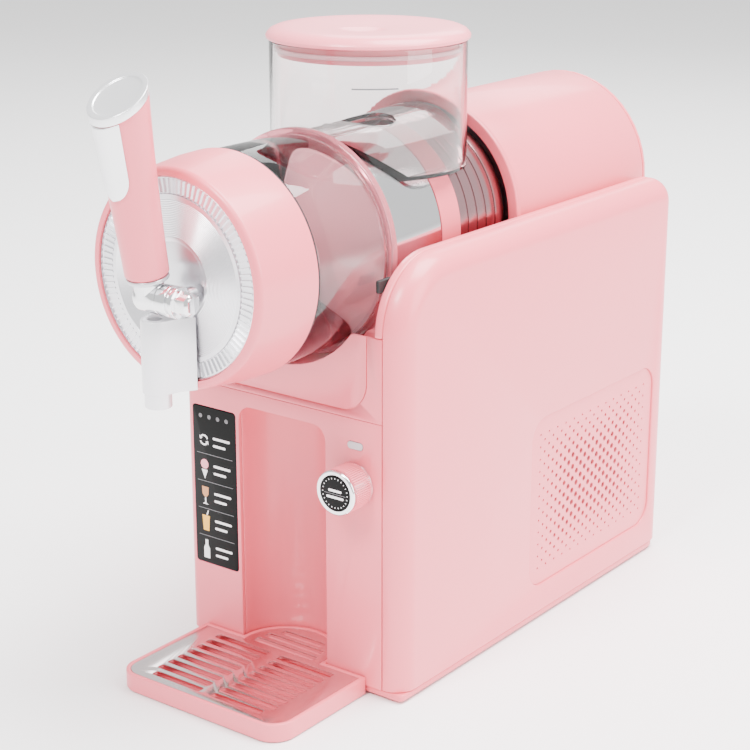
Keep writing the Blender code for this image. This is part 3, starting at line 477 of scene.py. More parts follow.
def lathe(
    name: str, profile: Profile, axis: str, centre: Vector, steps: int = 128, turn: Matrix | None = None
) -> Piece:
    """Turns a profile of (radius, height) points, in metres, about a line.

    Args:
        name: The piece's name.
        profile: Points of the section. It is closed unless both its ends are on the axis.
        axis: X, Y or Z.
        centre: A point on the line, from which heights are measured.
        steps: Sides round the piece.
        turn: A further rotation about the centre, after the axis is laid.

    Returns:
        The finished object at the origin.
    """
    bm = bmesh.new()
    verts = [bm.verts.new((radius, 0, height)) for radius, height in profile]
    edges = [bm.edges.new(pair) for pair in zip(verts, verts[1:])]
    if profile[0][0] > 1e-9 or profile[-1][0] > 1e-9:
        edges.append(bm.edges.new((verts[-1], verts[0])))
    bmesh.ops.spin(
        bm, geom=verts + edges, cent=(0, 0, 0), axis=(0, 0, 1), angle=math.tau, steps=steps, use_merge=True
    )
    bmesh.ops.remove_doubles(bm, verts=bm.verts, dist=1e-6)
    bmesh.ops.recalc_face_normals(bm, faces=bm.faces)
    lay = Matrix.Translation(centre) @ (turn or Matrix.Identity(4)) @ AXES[axis]
    bmesh.ops.transform(bm, matrix=lay, verts=bm.verts)
    return to_object(name, bm)


def rod(
    name: str,
    axis: str,
    centre: Vector,
    radius: float,
    low: float,
    high: float,
    steps: int,
    turn: Matrix | None = None,
) -> Piece:
    """A plain round bar along a line, from low to high on it. See lathe."""
    return lathe(name, [(0, high), (radius, high), (radius, low), (0, low)], axis, centre, steps, turn)


def arc(centre: tuple[float, float], radius: float, start: float, end: float, steps: int) -> Outline:
    """Points round an arc, with its ends given in degrees."""
    turns = [math.radians(start + (end - start) * i / steps) for i in range(steps + 1)]
    return [(centre[0] + radius * math.cos(a), centre[1] + radius * math.sin(a)) for a in turns]


def round_corners(points: Profile, radius: float, steps: int = 5) -> Outline:
    """Rounds every corner of a closed outline, or of an open profile between its ends.

    Args:
        points: The corners, in order.
        radius: The rounding, which short sides limit.
        steps: Steps across each corner.

    Returns:
        The rounded outline.
    """
    rounded: Outline = []
    count = len(points)
    for index, point in enumerate(points):
        here = Vector(point)
        before = Vector(points[index - 1]) - here
        after = Vector(points[(index + 1) % count]) - here
        on_axis = abs(here.x) < 1e-9
        reach = min(radius, before.length * 0.45, after.length * 0.45)
        if on_axis or reach < 1e-6:
            rounded.append(point)
            continue
        first, last = here + before.normalized() * reach, here + after.normalized() * reach
        for step in range(steps + 1):
            t = step / steps
            blend = first * (1 - t) ** 2 + here * 2 * t * (1 - t) + last * t * t
            rounded.append((blend.x, blend.y))
    return rounded


def rounded_box(
    low: Sequence[float], high: Sequence[float], radii: Sequence[float], steps: int = 12
) -> Outline:
    """A rectangle with a radius for each corner.

    Args:
        low: Its lowest corner.
        high: Its highest corner.
        radii: The radii from the low-low corner round by high-low.
        steps: Steps across each rounding.

    Returns:
        The outline, anticlockwise.
    """
    (x0, y0), (x1, y1) = low, high
    corners = ((x0, y0, 1, 1, 180), (x1, y0, -1, 1, 270), (x1, y1, -1, -1, 0), (x0, y1, 1, -1, 90))
    points: Outline = []
    for (x, y, side_x, side_y, start), radius in zip(corners, radii):
        if radius <= 0:
            points.append((x, y))
        else:
            points += arc((x + side_x * radius, y + side_y * radius), radius, start, start + 90, steps)
    return points


def rect(x0: float, y0: float, x1: float, y1: float) -> Outline:
    """A plain rectangle's corners."""
    return [(x0, y0), (x1, y0), (x1, y1), (x0, y1)]


def tube(
    name: str,
    axis: str,
    centre: Vector,
    radii: tuple[float, float],
    ends: tuple[float, float],
    edge: float,
    steps: int,
) -> Piece:
    """A ring about a line, with rounded corners.

    Args:
        name: The piece's name.
        axis: X, Y or Z.
        centre: A point on the line.
        radii: Outer and inner radius.
        ends: Lower and upper end along the line.
        edge: The rounding.
        steps: Steps across each rounding.

    Returns:
        The finished object.
    """
    (outer, inner), (low, high) = radii, ends
    section = [(outer, high), (outer, low), (inner, low), (inner, high)]
    return lathe(name, round_corners(section, edge, steps), axis, centre)


def prism_mesh(outline: Profile, axis: str, low: float, high: float) -> Form:
    """An outline in the other two axes, extruded along one.

    Args:
        outline: Points in the other two axes, in alphabetical order.
        axis: X, Y or Z.
        low: Where the solid starts.
        high: Where it ends.

    Returns:
        A closed bmesh with its faces pointing out.
    """
    place: dict[str, Callable[[float, float], tuple[float, float, float]]] = {
        "X": lambda a, b: (low, a, b),
        "Y": lambda a, b: (a, low, b),
        "Z": lambda a, b: (a, b, low),
    }
    along = {"X": (1, 0, 0), "Y": (0, 1, 0), "Z": (0, 0, 1)}[axis]
    bm = bmesh.new()
    face = bm.faces.new([bm.verts.new(place[axis](a, b)) for a, b in outline])
    grown = bmesh.ops.extrude_face_region(bm, geom=[face])["geom"]
    top = [v for v in grown if isinstance(v, bmesh.types.BMVert)]
    bmesh.ops.translate(bm, verts=top, vec=Vector(along) * (high - low))
    bmesh.ops.recalc_face_normals(bm, faces=bm.faces)
    return bm


def prism(name: str, outline: Profile, axis: str, low: float, high: float) -> Piece:
    """An extruded outline as an object. See prism_mesh."""
    return to_object(name, prism_mesh(outline, axis, low, high))


def copy_of(node: str, name: str) -> Piece:
    """A clean copy of a node, with its loose triangles joined into whole faces.

    Args:
        node: The node to copy.
        name: The new piece's name.

    Returns:
        The copy at the origin.
    """
    bm = bmesh.new()
    bm.from_mesh(frame["nodes"][node].data)
    bmesh.ops.remove_doubles(bm, verts=bm.verts, dist=2e-6)
    bmesh.ops.dissolve_limit(bm, angle_limit=math.radians(0.6), verts=bm.verts, edges=bm.edges)
    return to_object(name, bm)


def dress(piece: Piece, finish: Finish) -> Piece:
    """Gives a piece one finish all over.

    Args:
        piece: The object.
        finish: Its material.

    Returns:
        The same object.
    """
    piece.data.materials.clear()
    piece.data.materials.append(finish.material())
    return piece


def hand_over(piece: Piece, finish: Finish, body: str, slot: str, *nodes: str) -> Piece:
    """Args:
        piece: The shaped object.
        finish: Its material.
        body: The body it moves with.
        slot: The record's material slot. It is not used.
        *nodes: The nodes it stands for.

    Returns:
        The same object.
    """
    dress(piece, finish)
    if nodes:
        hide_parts(*nodes)
    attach(piece, body)
    LOG.info("%s rides on %s, %d faces", piece.name, body, len(piece.data.polygons))
    return piece


# ---------------------------------------------------------------- repeated things


@dataclass
class Pattern:
    """A geometry tree that instances a small solid and joins it to or cuts it from a base.

    Attributes:
        name: The tree's name.
        tree: The tree, made empty.
    """

    name: str
    tree: Tree = field(init=False)

    def __post_init__(self) -> None:
        """Makes the empty tree with its geometry sockets."""
        self.tree = bpy.data.node_groups.new(self.name, "GeometryNodeTree")
        self.tree.interface.new_socket("Geometry", in_out="INPUT", socket_type="NodeSocketGeometry")
        self.tree.interface.new_socket("Geometry", in_out="OUTPUT", socket_type="NodeSocketGeometry")

    def size(self, name: str) -> None:
        """Adds a named size."""
        self.tree.interface.new_socket(name, in_out="INPUT", socket_type="NodeSocketFloat")

    def add(
        self, kind: str, settings: dict[str, Any] | None = None, links: dict[Any, Any] | None = None
    ) -> Node:
        """Adds a node to the tree. See add_node."""
        return add_node(self.tree, kind, settings or {}, links or {})

    def math(self, operation: str, *values: Any) -> Socket:
        """Adds one step of arithmetic and gives its result."""
        return self.add("ShaderNodeMath", {"operation": operation}, dict(enumerate(values))).outputs[0]

    def vector(self, x: Any, y: Any, z: Any) -> Socket:
        """Joins three numbers to a vector."""
        return self.add("ShaderNodeCombineXYZ", links={"X": x, "Y": y, "Z": z}).outputs[0]

    def lay(self, copies: Socket, given: Any, turn: tuple[float, float, float]) -> Socket:
        """Makes instances real, turns them and moves them to the given X, Y and Z.

        Args:
            copies: The instances.
            given: The tree's inputs, by name.
            turn: Angles about X, Y and Z.

        Returns:
            The placed geometry.
        """
        real = self.add("GeometryNodeRealizeInstances", links={0: copies}).outputs[0]
        centre = self.vector(given["X"], given["Y"], given["Z"])
        links = {"Geometry": real, "Translation": centre, "Rotation": turn}
        return self.add("GeometryNodeTransform", links=links).outputs[0]

    def finish(self, geometry: Socket, finish: Finish) -> None:
        """Ends the tree with real geometry in one finish.

        Args:
            geometry: What the tree has made.
            finish: Its material.
        """
        real = self.add("GeometryNodeRealizeInstances", links={0: geometry})
        links = {"Geometry": real.outputs[0], "Material": finish.material()}
        dressed = self.add("GeometryNodeSetMaterial", links=links)
        self.add("NodeGroupOutput", links={0: dressed.outputs[0]})

    def run(self, base: Piece, sizes: dict[str, float]) -> Piece:
        """Runs the tree on an object.

        Args:
            base: The object whose mesh goes in.
            sizes: A value for each named size.

        Returns:
            The same object with the result as a plain mesh.
        """
        modifier = base.modifiers.new(self.name, "NODES")
        modifier.node_group = self.tree
        for item in self.tree.interface.items_tree:
            if item.item_type == "SOCKET" and item.in_out == "INPUT" and item.name in sizes:
                modifier[item.identifier] = sizes[item.name]
        return settle(base)


def vent_pattern(finish: Finish) -> Pattern:
    """A staggered field of round holes that grow towards the middle of a plate facing +X.

    Args:
        finish: The plate's material.

    Returns:
        The pattern, which cuts the holes from its base.
    """
    made = Pattern("halftone_vent")
    for name in ("Length", "Height", "Columns", "Rows", "Smallest", "Largest", "Depth", "X", "Y", "Z"):
        made.size(name)
    given = made.add("NodeGroupInput").outputs
    join = made.add("GeometryNodeJoinGeometry")
    grids = []
    for inset in (0.0, 1.0):
        sizes = []
        for length, count in (("Length", "Columns"), ("Height", "Rows")):
            step = made.math("DIVIDE", given[length], made.math("SUBTRACT", given[count], 1.0))
            sizes.append(made.math("SUBTRACT", given[length], made.math("MULTIPLY", step, inset)))
            sizes.append(made.math("SUBTRACT", given[count], inset))
        links = dict(zip(("Size X", "Vertices X", "Size Y", "Vertices Y"), sizes))
        grids.append(made.add("GeometryNodeMeshGrid", links=links).outputs["Mesh"])
    for grid in grids:
        made.tree.links.new(grid, join.inputs[0])
    at = made.add("GeometryNodeInputPosition").outputs[0]
    parts = made.add("ShaderNodeSeparateXYZ", links={0: at}).outputs
    off_x = made.math("ABSOLUTE", made.math("DIVIDE", parts["X"], given["Length"]))
    off_y = made.math("ABSOLUTE", made.math("DIVIDE", parts["Y"], given["Height"]))
    far = made.math("SMOOTH_MAX", off_x, off_y, 0.1)
    limits = {"From Min": 0.22, "From Max": 0.5, "To Min": given["Largest"], "To Max": given["Smallest"]}
    grow = made.add("ShaderNodeMapRange", links={"Value": far, **limits}).outputs[0]
    shape = {"Vertices": 14, "Radius": 1.0, "Depth": given["Depth"]}
    drill = made.add("GeometryNodeMeshCylinder", links=shape).outputs["Mesh"]
    places = {"Points": join.outputs[0], "Instance": drill, "Scale": made.vector(grow, grow, 1.0)}
    holes = made.add("GeometryNodeInstanceOnPoints", links=places).outputs[0]
    laid = made.lay(holes, given, (math.pi / 2, 0.0, math.pi / 2))
    bored = made.add("GeometryNodeMeshBoolean", {"operation": "DIFFERENCE"}, {0: given["Geometry"]})
    made.tree.links.new(laid, bored.inputs[1])
    made.finish(bored.outputs[0], finish)
    return made


def ring_pattern(name: str, finish: Finish) -> Pattern:
    """Bars laid round a circle about a line along Y, each pointing outwards.

    Args:
        name: The tree's name.
        finish: The bars' material.

    Returns:
        The pattern, which needs no base.
    """
    made = Pattern(name)
    for size in ("Count", "Radius", "Long", "Wide", "Tall", "X", "Y", "Z"):
        made.size(size)
    given = made.add("NodeGroupInput").outputs
    links = {"Vertices": given["Count"], "Radius": given["Radius"]}
    circle = made.add("GeometryNodeMeshCircle", links=links)
    at = made.add("GeometryNodeInputPosition").outputs[0]
    aim = made.add("FunctionNodeAlignRotationToVector", {"axis": "X"}, {"Vector": at})
    block = made.vector(given["Long"], given["Wide"], given["Tall"])
    bar = made.add("GeometryNodeMeshCube", links={"Size": block}).outputs["Mesh"]
    places = {"Points": circle.outputs[0], "Instance": bar, "Rotation": aim.outputs[0]}
    bars = made.add("GeometryNodeInstanceOnPoints", links=places).outputs[0]
    made.finish(made.lay(bars, given, (math.pi / 2, 0.0, 0.0)), finish)
    return made


def empty_piece(name: str) -> Piece:
    """An object with no mesh of its own, for a pattern to fill."""
    return to_object(name, bmesh.new())


# ---------------------------------------------------------------- sub-assemblies


@dataclass
class Casing:
    """The moulded shells of the body, the tower and the rear dome.

    Attributes:
        edge_mm: Rounding of the plain panels' edges.
        wall: Thickness of the shells.
        fillet: Rounding of the right cover's outer edges.
        front_round: Radius of the tower's top front corner, seen from the side.
        back_round: Radius of its top rear corner.
        vent_round: Radius of the vent's corners.
        hole_columns: Holes along the vent's wider grid.
        hole_rows: Holes up the same grid.
    """

    edge_mm: float = 1.1
    wall: float = 2.6 * MM
    fillet: float = 15.0 * MM
    front_round: float = 48.0 * MM
    back_round: float = 18.0 * MM
    vent_round: float = 16.0 * MM
    hole_columns: int = 14
    hole_rows: int = 12

    def shells(self) -> None:
        """Softens the plain panels' edges and dresses them."""
        looks = {
            "front_panel": (Finishes.PINK, self.edge_mm),
            "cup_recess": (Finishes.PINK, 0.5),
            "drum_saddle": (Finishes.PINK, self.edge_mm),
            "left_side_panel": (Finishes.PINK, 0.8),
            "rear_panel": (Finishes.PINK, 0.9),
            "base_plate": (Finishes.PINK_DEEP, 0.7),
        }
        for node, (finish, edge) in looks.items():
            piece = soften(copy_of(node, f"{node}_shell"), edge)
            hand_over(piece, finish, "housing", "pink_shell", node)

    def cradle(self) -> None:
        """Builds the panel under the drum, with a fine groove round its hatch."""
        low, high = span("cradle_panel")
        panel = soften(copy_of("cradle_panel", "cradle_shell"), self.edge_mm)
        foot, reach, corner, wide = low.z + 4.5 * MM, 71 * MM, 20 * MM, 0.45 * MM
        centre = drum_point().x
        bands = []
        for grow in (wide, -wide):
            sides = (centre - reach - grow, foot - grow), (centre + reach + grow, high.z + 30 * MM)
            bands.append(rounded_box(*sides, (corner + grow, corner + grow, 0, 0), 16))
        outer = prism("groove", bands[0], "Y", low.y - MM, low.y + 0.9 * MM)
        inner = prism("groove_inside", bands[1], "Y", low.y - 2 * MM, low.y + 2 * MM)
        carve(outer, [inner])
        carve(panel, [outer])
        hand_over(panel, Finishes.PINK, "housing", "pink_shell", "cradle_panel")

    def side_form(self, inset: float, fillet: float) -> Form:
        """The right cover's soft slab, or its inside.

        Args:
            inset: How far inside the outer skin the form lies.
            fillet: Its edge rounding.

        Returns:
            A closed form, open-ended past the seam when inset.
        """
        low, high = span("right_side_cover")
        corners = (self.fillet + MM, self.fillet + MM, self.back_round - inset, self.front_round - inset)
        sunk = low.z - 2 * self.fillet
        outline = rounded_box((low.y + inset, sunk), (high.y - inset, high.z - inset), corners, 18)
        bm = prism_mesh(outline, "X", low.x - (self.wall if inset else 0), high.x - inset)
        outer = [e for e in bm.edges if all(v.co.x > high.x - inset - 1e-5 for v in e.verts)]
        bmesh.ops.bevel(bm, geom=outer, offset=fillet, segments=12, profile=0.5, affect="EDGES")
        floor = low.z - (self.wall if inset else 0)
        everything = bm.verts[:] + bm.edges[:] + bm.faces[:]
        sawn = bmesh.ops.bisect_plane(
            bm, geom=everything, plane_co=(0, 0, floor), plane_no=(0, 0, -1), clear_outer=True
        )
        bmesh.ops.holes_fill(bm, edges=[e for e in sawn["geom_cut"] if isinstance(e, bmesh.types.BMEdge)])
        bmesh.ops.recalc_face_normals(bm, faces=bm.faces)
        return bm

    def vent_outline(self, inset: float) -> Outline:
        """The vent's outline, taken from the grille that fits it.

        Args:
            inset: How far the outline moves in.

        Returns:
            Points in Y and Z.
        """
        low, high = span("vent_grille")
        corner = self.vent_round - inset
        return rounded_box((low.y + inset, low.z + inset), (high.y - inset, high.z - inset), [corner] * 4)

    def side_cover(self) -> None:
        """Builds the right cover with its vent opening."""
        high = span("right_side_cover")[1]
        cover = to_object("side_cover_shell", self.side_form(0, self.fillet))
        hollow = to_object("hollow", self.side_form(self.wall, self.fillet - self.wall))
        opening = prism("opening", self.vent_outline(-FIT), "X", high.x - 3 * self.wall, high.x + MM)
        carve(cover, [hollow, opening])
        soften(cover, 0.9, 3, 50)
        hand_over(cover, Finishes.PINK, "housing", "pink_shell", "right_side_cover")

    def inner_panel(self) -> None:
        """Builds the tower's inner slab with fine corners."""
        low, high = span("tower_inner_panel")
        panel_high = span("cradle_panel")[1]
        radii = (0, 0, self.back_round, self.front_round)
        outline = rounded_box((low.y, low.z), (high.y, high.z), radii, 18)
        slab = prism("tower_inner_shell", outline, "X", low.x, high.x)
        behind = rect(low.y - MM, low.z - MM, low.y + self.wall + FIT, panel_high.z + FIT)
        seat = prism("seat", behind, "X", low.x - MM, high.x + MM)
        window = prism("window", self.vent_outline(0), "X", low.x - MM, high.x + MM)
        carve(slab, [seat, window])
        soften(slab, 1.4, 3, 50)
        hand_over(slab, Finishes.PINK, "housing", "pink_shell", "tower_inner_panel")

    def vent(self) -> None:
        """Builds the perforated vent insert."""
        low, high = span("vent_grille")
        plate = prism("vent_insert", self.vent_outline(0), "X", low.x, high.x)
        centre = middle("vent_grille")
        border = 12.5 * MM
        sizes = {
            "Length": high.y - low.y - 2 * border,
            "Height": high.z - low.z - 2 * border,
            "Columns": float(self.hole_columns),
            "Rows": float(self.hole_rows),
            "Smallest": 0.85 * MM,
            "Largest": 2.15 * MM,
            "Depth": 12 * MM,
            "X": centre.x,
            "Y": centre.y,
            "Z": centre.z,
        }
        vent_pattern(Finishes.PINK).run(plate, sizes)
        hand_over(plate, Finishes.PINK, "housing", "pink_shell", "vent_grille")

    def dome(self) -> None:
        """Builds the rear motor dome and the collar that faces the drum."""
        low, high = span("motor_housing")
        axis = drum_point()
        radius = high.z - axis.z
        shelf_low, shelf = low.z, low.z + self.wall
        outer = arc((axis.x, axis.z), radius, 180, 0, 72)
        inner = arc((axis.x, axis.z), radius - self.wall, 0, 180, 72)
        outline = [
            (low.x, shelf_low), (low.x, shelf), (axis.x - radius, shelf), *outer, (axis.x + radius, shelf),
            (high.x, shelf), (high.x, shelf_low), (axis.x + radius - self.wall, shelf_low), *inner,
            (axis.x - radius + self.wall, shelf_low),
        ]
        dome = prism("motor_dome", outline, "Y", low.y, high.y)
        soften(dome, 1.2, 3, 50)
        hand_over(dome, Finishes.PINK, "housing", "pink_shell", "motor_housing")
        low, high = span("drum_collar")
        outer_radius = high.z - axis.z
        bore = (span("freezing_cylinder")[1].z - axis.z) + 2 * MM
        drop = axis.z - low.z
        outer_rise = math.degrees(math.asin(drop / outer_radius))
        inner_rise = math.degrees(math.asin(drop / bore))
        ring = [
            *arc((axis.x, axis.z), outer_radius, 180 + outer_rise, -outer_rise, 96),
            *arc((axis.x, axis.z), bore, -inner_rise, 180 + inner_rise, 96),
        ]
        collar = prism("drum_collar_ring", ring, "Y", low.y, high.y)
        soften(collar, 1.3, 4, 50)
        hand_over(collar, Finishes.PINK_DEEP, "housing", "pink_trim", "drum_collar")

    def build(self) -> None:
        """Builds every shell."""
        self.shells()
        self.cradle()
        self.side_cover()
        self.inner_panel()
        self.vent()
        self.dome()


@dataclass
class DrumLine:
    """The steel cylinder, the clear bowl in front of it, and the auger inside.

    Attributes:
        helix_steps: Steps in one turn of the screw.
        helix_pitch: Advance of one turn.
        helix_thick: Thickness of the flight.
        helix_turns: Turns from end to end.
        bands: Ribs round the cylinder's rear half.
        plate_ribs: Radial ribs round the front plate.
        bowl_wall: Thickness of the clear bowl.
        flange_bore: Inner radius of its flange.
        cylinder_wall: Thickness of the steel cylinder.
        rose_band: Width of the coloured band, with its seam.
        seam: Width of the dark seam in front of it.
    """

    helix_steps: int = 72
    helix_pitch: float = 58 * MM
    helix_thick: float = 3 * MM
    helix_turns: float = 3.8
    bands: int = 5
    plate_ribs: int = 96
    bowl_wall: float = 2.5 * MM
    flange_bore: float = 64.4 * MM
    cylinder_wall: float = 1.6 * MM
    rose_band: float = 22 * MM
    seam: float = 1.2 * MM

    def cylinder(self) -> None:
        """Builds the steel cylinder with the bands that ring its rear half."""
        low, high = span("freezing_cylinder")
        axis = drum_axis()
        radius = high.z - axis.z
        band_front = low.y + 0.42 * (high.y - low.y)
        seam_back, band_back = band_front + self.seam, band_front + self.rose_band
        sections: list[tuple[str, float, float, float, Finish]] = [
            ("cylinder_barrel", low.y, band_front, radius, Finishes.MIRROR_STEEL),
            ("cylinder_seam_ring", band_front, seam_back, radius - 0.9 * MM, Finishes.RUBBER),
            ("cylinder_rose_band", seam_back, band_back, radius, Finishes.PINK_DEEP),
        ]
        pitch = (high.y - band_back) / self.bands
        for index in range(self.bands):
            start, steel = band_back + index * pitch, Finishes.ROSE_STEEL
            middle_y = start + 0.8 * pitch
            sections.append((f"cylinder_rib_{index + 1}", start, middle_y, radius - 0.5 * MM, steel))
            sections.append(
                (f"cylinder_groove_{index + 1}", middle_y, start + pitch, radius - 1.1 * MM, steel)
            )
        port_low, port_high = span("hopper_shell")
        for name, front, back, outer, finish in sections:
            radii = (outer, radius - self.cylinder_wall)
            section = tube(name, "Y", axis, radii, (front, back), 0.35 * MM, 3)
            place = Vector((axis.x, (port_low.y + port_high.y) / 2, 0))
            carve(section, [rod("port", "Z", place, PORT_RADIUS, axis.z, port_high.z, 48)])
            nodes = ("freezing_cylinder",) if name == "cylinder_barrel" else ()
            slot = "steel" if finish.metallic else "pink_trim"
            hand_over(section, finish, "housing", slot, *nodes)

    def auger(self) -> None:
        """Builds the screw with a smooth helix and a rounded outer edge."""
        low, high = span("auger_flight")
        axis = drum_axis()
        outer = high.z - axis.z
        shaft = (span("auger_shaft")[1].z - span("auger_shaft")[0].z) / 2
        thick = self.helix_thick
        bm = bmesh.new()
        edge = thick / 2
        section = [(shaft, 0), (shaft, thick), *arc((outer - edge, edge), edge, 90, -90, 6)]
        verts = [bm.verts.new((axis.x + r, low.y + h, axis.z)) for r, h in section]
        edges = [bm.edges.new((verts[i - 1], verts[i])) for i in range(len(verts))]
        steps = self.helix_steps
        bmesh.ops.spin(
            bm, geom=verts + edges, cent=axis, axis=(0, 1, 0), angle=math.tau * self.helix_turns,
            steps=round(steps * self.helix_turns), dvec=(0, self.helix_pitch / steps, 0),
        )
        bmesh.ops.holes_fill(bm, edges=[e for e in bm.edges if e.is_boundary], sides=0)
        bmesh.ops.recalc_face_normals(bm, faces=bm.faces)
        hand_over(to_object("auger_screw", bm), Finishes.NYLON, "auger", "white_plastic", "auger_flight")
        nose_low, nose_high = span("auger_shaft")
        profile = [
            (0, nose_high.y), (shaft, nose_high.y), (shaft, nose_low.y + 14 * MM),
            (shaft - 3 * MM, nose_low.y), (0, nose_low.y),
        ]
        core = lathe("auger_core", round_corners(profile, 1.2 * MM), "Y", axis, 64)
        hand_over(core, Finishes.NYLON, "auger", "steel", "auger_shaft")

    def bowl(self) -> None:
        """Builds the clear bowl, its flange and the pink ring in front."""
        axis = drum_axis()
        low, high = span("bowl_shell")
        outer = high.z - axis.z
        radii = (outer, outer - self.bowl_wall)
        shell = tube("clear_bowl_tube", "Y", axis, radii, (low.y, high.y), 0.5 * MM, 3)
        hand_over(shell, Finishes.CLEAR, "bowl", "clear_bowl", "bowl_shell")
        low, high = span("bowl_flange")
        radii = (high.z - axis.z, self.flange_bore)
        flange = tube("clear_bowl_flange", "Y", axis, radii, (low.y, high.y), 1.3 * MM, 5)
        hand_over(flange, Finishes.ROSE_CLEAR, "bowl", "clear_bowl", "bowl_flange")

        low, high = span("front_ring")
        inner = span("front_disc")[1].z - axis.z + FIT
        rear_radius = high.z - axis.z
        front_radius = rear_radius - 3.6 * MM
        profile = [
            (rear_radius, high.y), (rear_radius - 0.4 * MM, high.y - 14 * MM),
            *arc((front_radius - 3.5 * MM, low.y + 3.5 * MM), 3.5 * MM, 0, -90, 10),
            (inner, low.y), (inner, high.y),
        ]
        ring = lathe("front_ring_shell", profile, "Y", axis)
        hand_over(ring, Finishes.PINK, "bowl", "pink_shell", "front_ring")
        low, high = span("ring_gasket")
        seal = tube("ring_seal", "Y", axis, (high.z - axis.z, inner), (low.y, high.y), 0.5 * MM, 4)
        hand_over(seal, Finishes.RUBBER, "bowl", "black_rubber", "ring_gasket")

    def disc(self) -> None:
        """Builds the front disc: a spun plate, a band of radial ribs and a dished hub."""
        axis = drum_axis()
        low, high = span("front_disc")
        outer = high.z - axis.z
        band_in, band_out, hub = 0.825 * outer, 0.982 * outer, 0.37 * outer
        sunk, face = low.y + 1.4 * MM, low.y + 0.2 * MM
        lined = [band_in - 3.0 * MM, hub + 2.0 * MM]
        ridges: Outline = []
        count = round((lined[0] - lined[1]) / (1.05 * MM))
        for index in range(count):
            crest = lined[0] - (index + 0.5) * (lined[0] - lined[1]) / count
            ridges += [(crest + 0.42 * MM, face + 0.28 * MM), (crest, face)]
        profile = [
            (0, high.y), (outer, high.y), (outer, low.y + 0.6 * MM),
            (band_out + 0.3 * MM, low.y + 0.1 * MM), (band_out, sunk), (band_in + 0.4 * MM, sunk),
            (band_in, face), (lined[0] + 0.3 * MM, face), *ridges, (hub + 1.4 * MM, face),
            *arc((hub - 0.6 * MM, low.y + 1.5 * MM), 1.2 * MM, -60, 60, 4),
            (hub - 2 * MM, low.y + 2.4 * MM), (0, low.y + 2.6 * MM),
        ]
        plate = lathe("front_plate", profile, "Y", axis, 160)
        hand_over(plate, Finishes.SPUN_STEEL, "bowl", "steel", "front_disc")
        ribs = empty_piece("front_plate_ribs")
        sizes = {
            "Count": float(self.plate_ribs), "Radius": (band_in + band_out) / 2,
            "Long": (band_out - band_in) * 0.86,
            "Wide": 1.1 * MM, "Tall": 1.4 * MM, "X": axis.x, "Y": sunk - 0.4 * MM, "Z": axis.z,
        }
        ring_pattern("radial_ribs", Finishes.SPUN_STEEL).run(ribs, sizes)
        hand_over(ribs, Finishes.SPUN_STEEL, "bowl", "steel")

    def spout(self) -> None:
        """Builds the spout, the chrome valve and its pin."""
        spout = soften(copy_of("spout_body", "spout_shell"), 0.8, 3, 50)
        hand_over(spout, Finishes.FROSTED, "bowl", "silver_plastic", "spout_body")
        low, high = span("valve_body")
        pivot = joint_point("handle_pivot")
        x0, x1 = low.x - pivot.x, high.x - pivot.x
        barrel = [
            (0, x0 + 13 * MM), (9.5 * MM, x0 + 13 * MM), (9.5 * MM, x0 + 10 * MM),
            (7.6 * MM, x0 + 9.6 * MM), (7.6 * MM, x0 + 8 * MM), (9.5 * MM, x0 + 7.6 * MM),
            (9.5 * MM, x0), (4.3 * MM, x0), (4.3 * MM, x0 + 9.8 * MM), (0, x0 + 9.8 * MM),
        ]
        barrel = lathe("valve_barrel", round_corners(barrel, 0.5 * MM, 3), "X", pivot, 64)
        point = x0 + 12.5 * MM
        profile = [(0, x1), (5.5 * MM, x1), (7.5 * MM, x1 - 1.6 * MM), (7.5 * MM, point), (0, point)]
        tip = lathe("tip", profile, "X", pivot, 6)
        stem_place = Vector((drum_point().x + 15 * MM, 0, pivot.z))
        stem = rod("stem", "Y", stem_place, 5.5 * MM, pivot.y + 6 * MM, high.y, 48)
        carve(barrel, [tip, stem], "UNION")
        soften(barrel, 0.35, 2, 40)
        hand_over(barrel, Finishes.CHROME, "bowl", "chrome", "valve_body")

    def build(self) -> None:
        """Builds the whole line."""
        self.cylinder()
        self.auger()
        self.bowl()
        self.disc()
        self.spout()


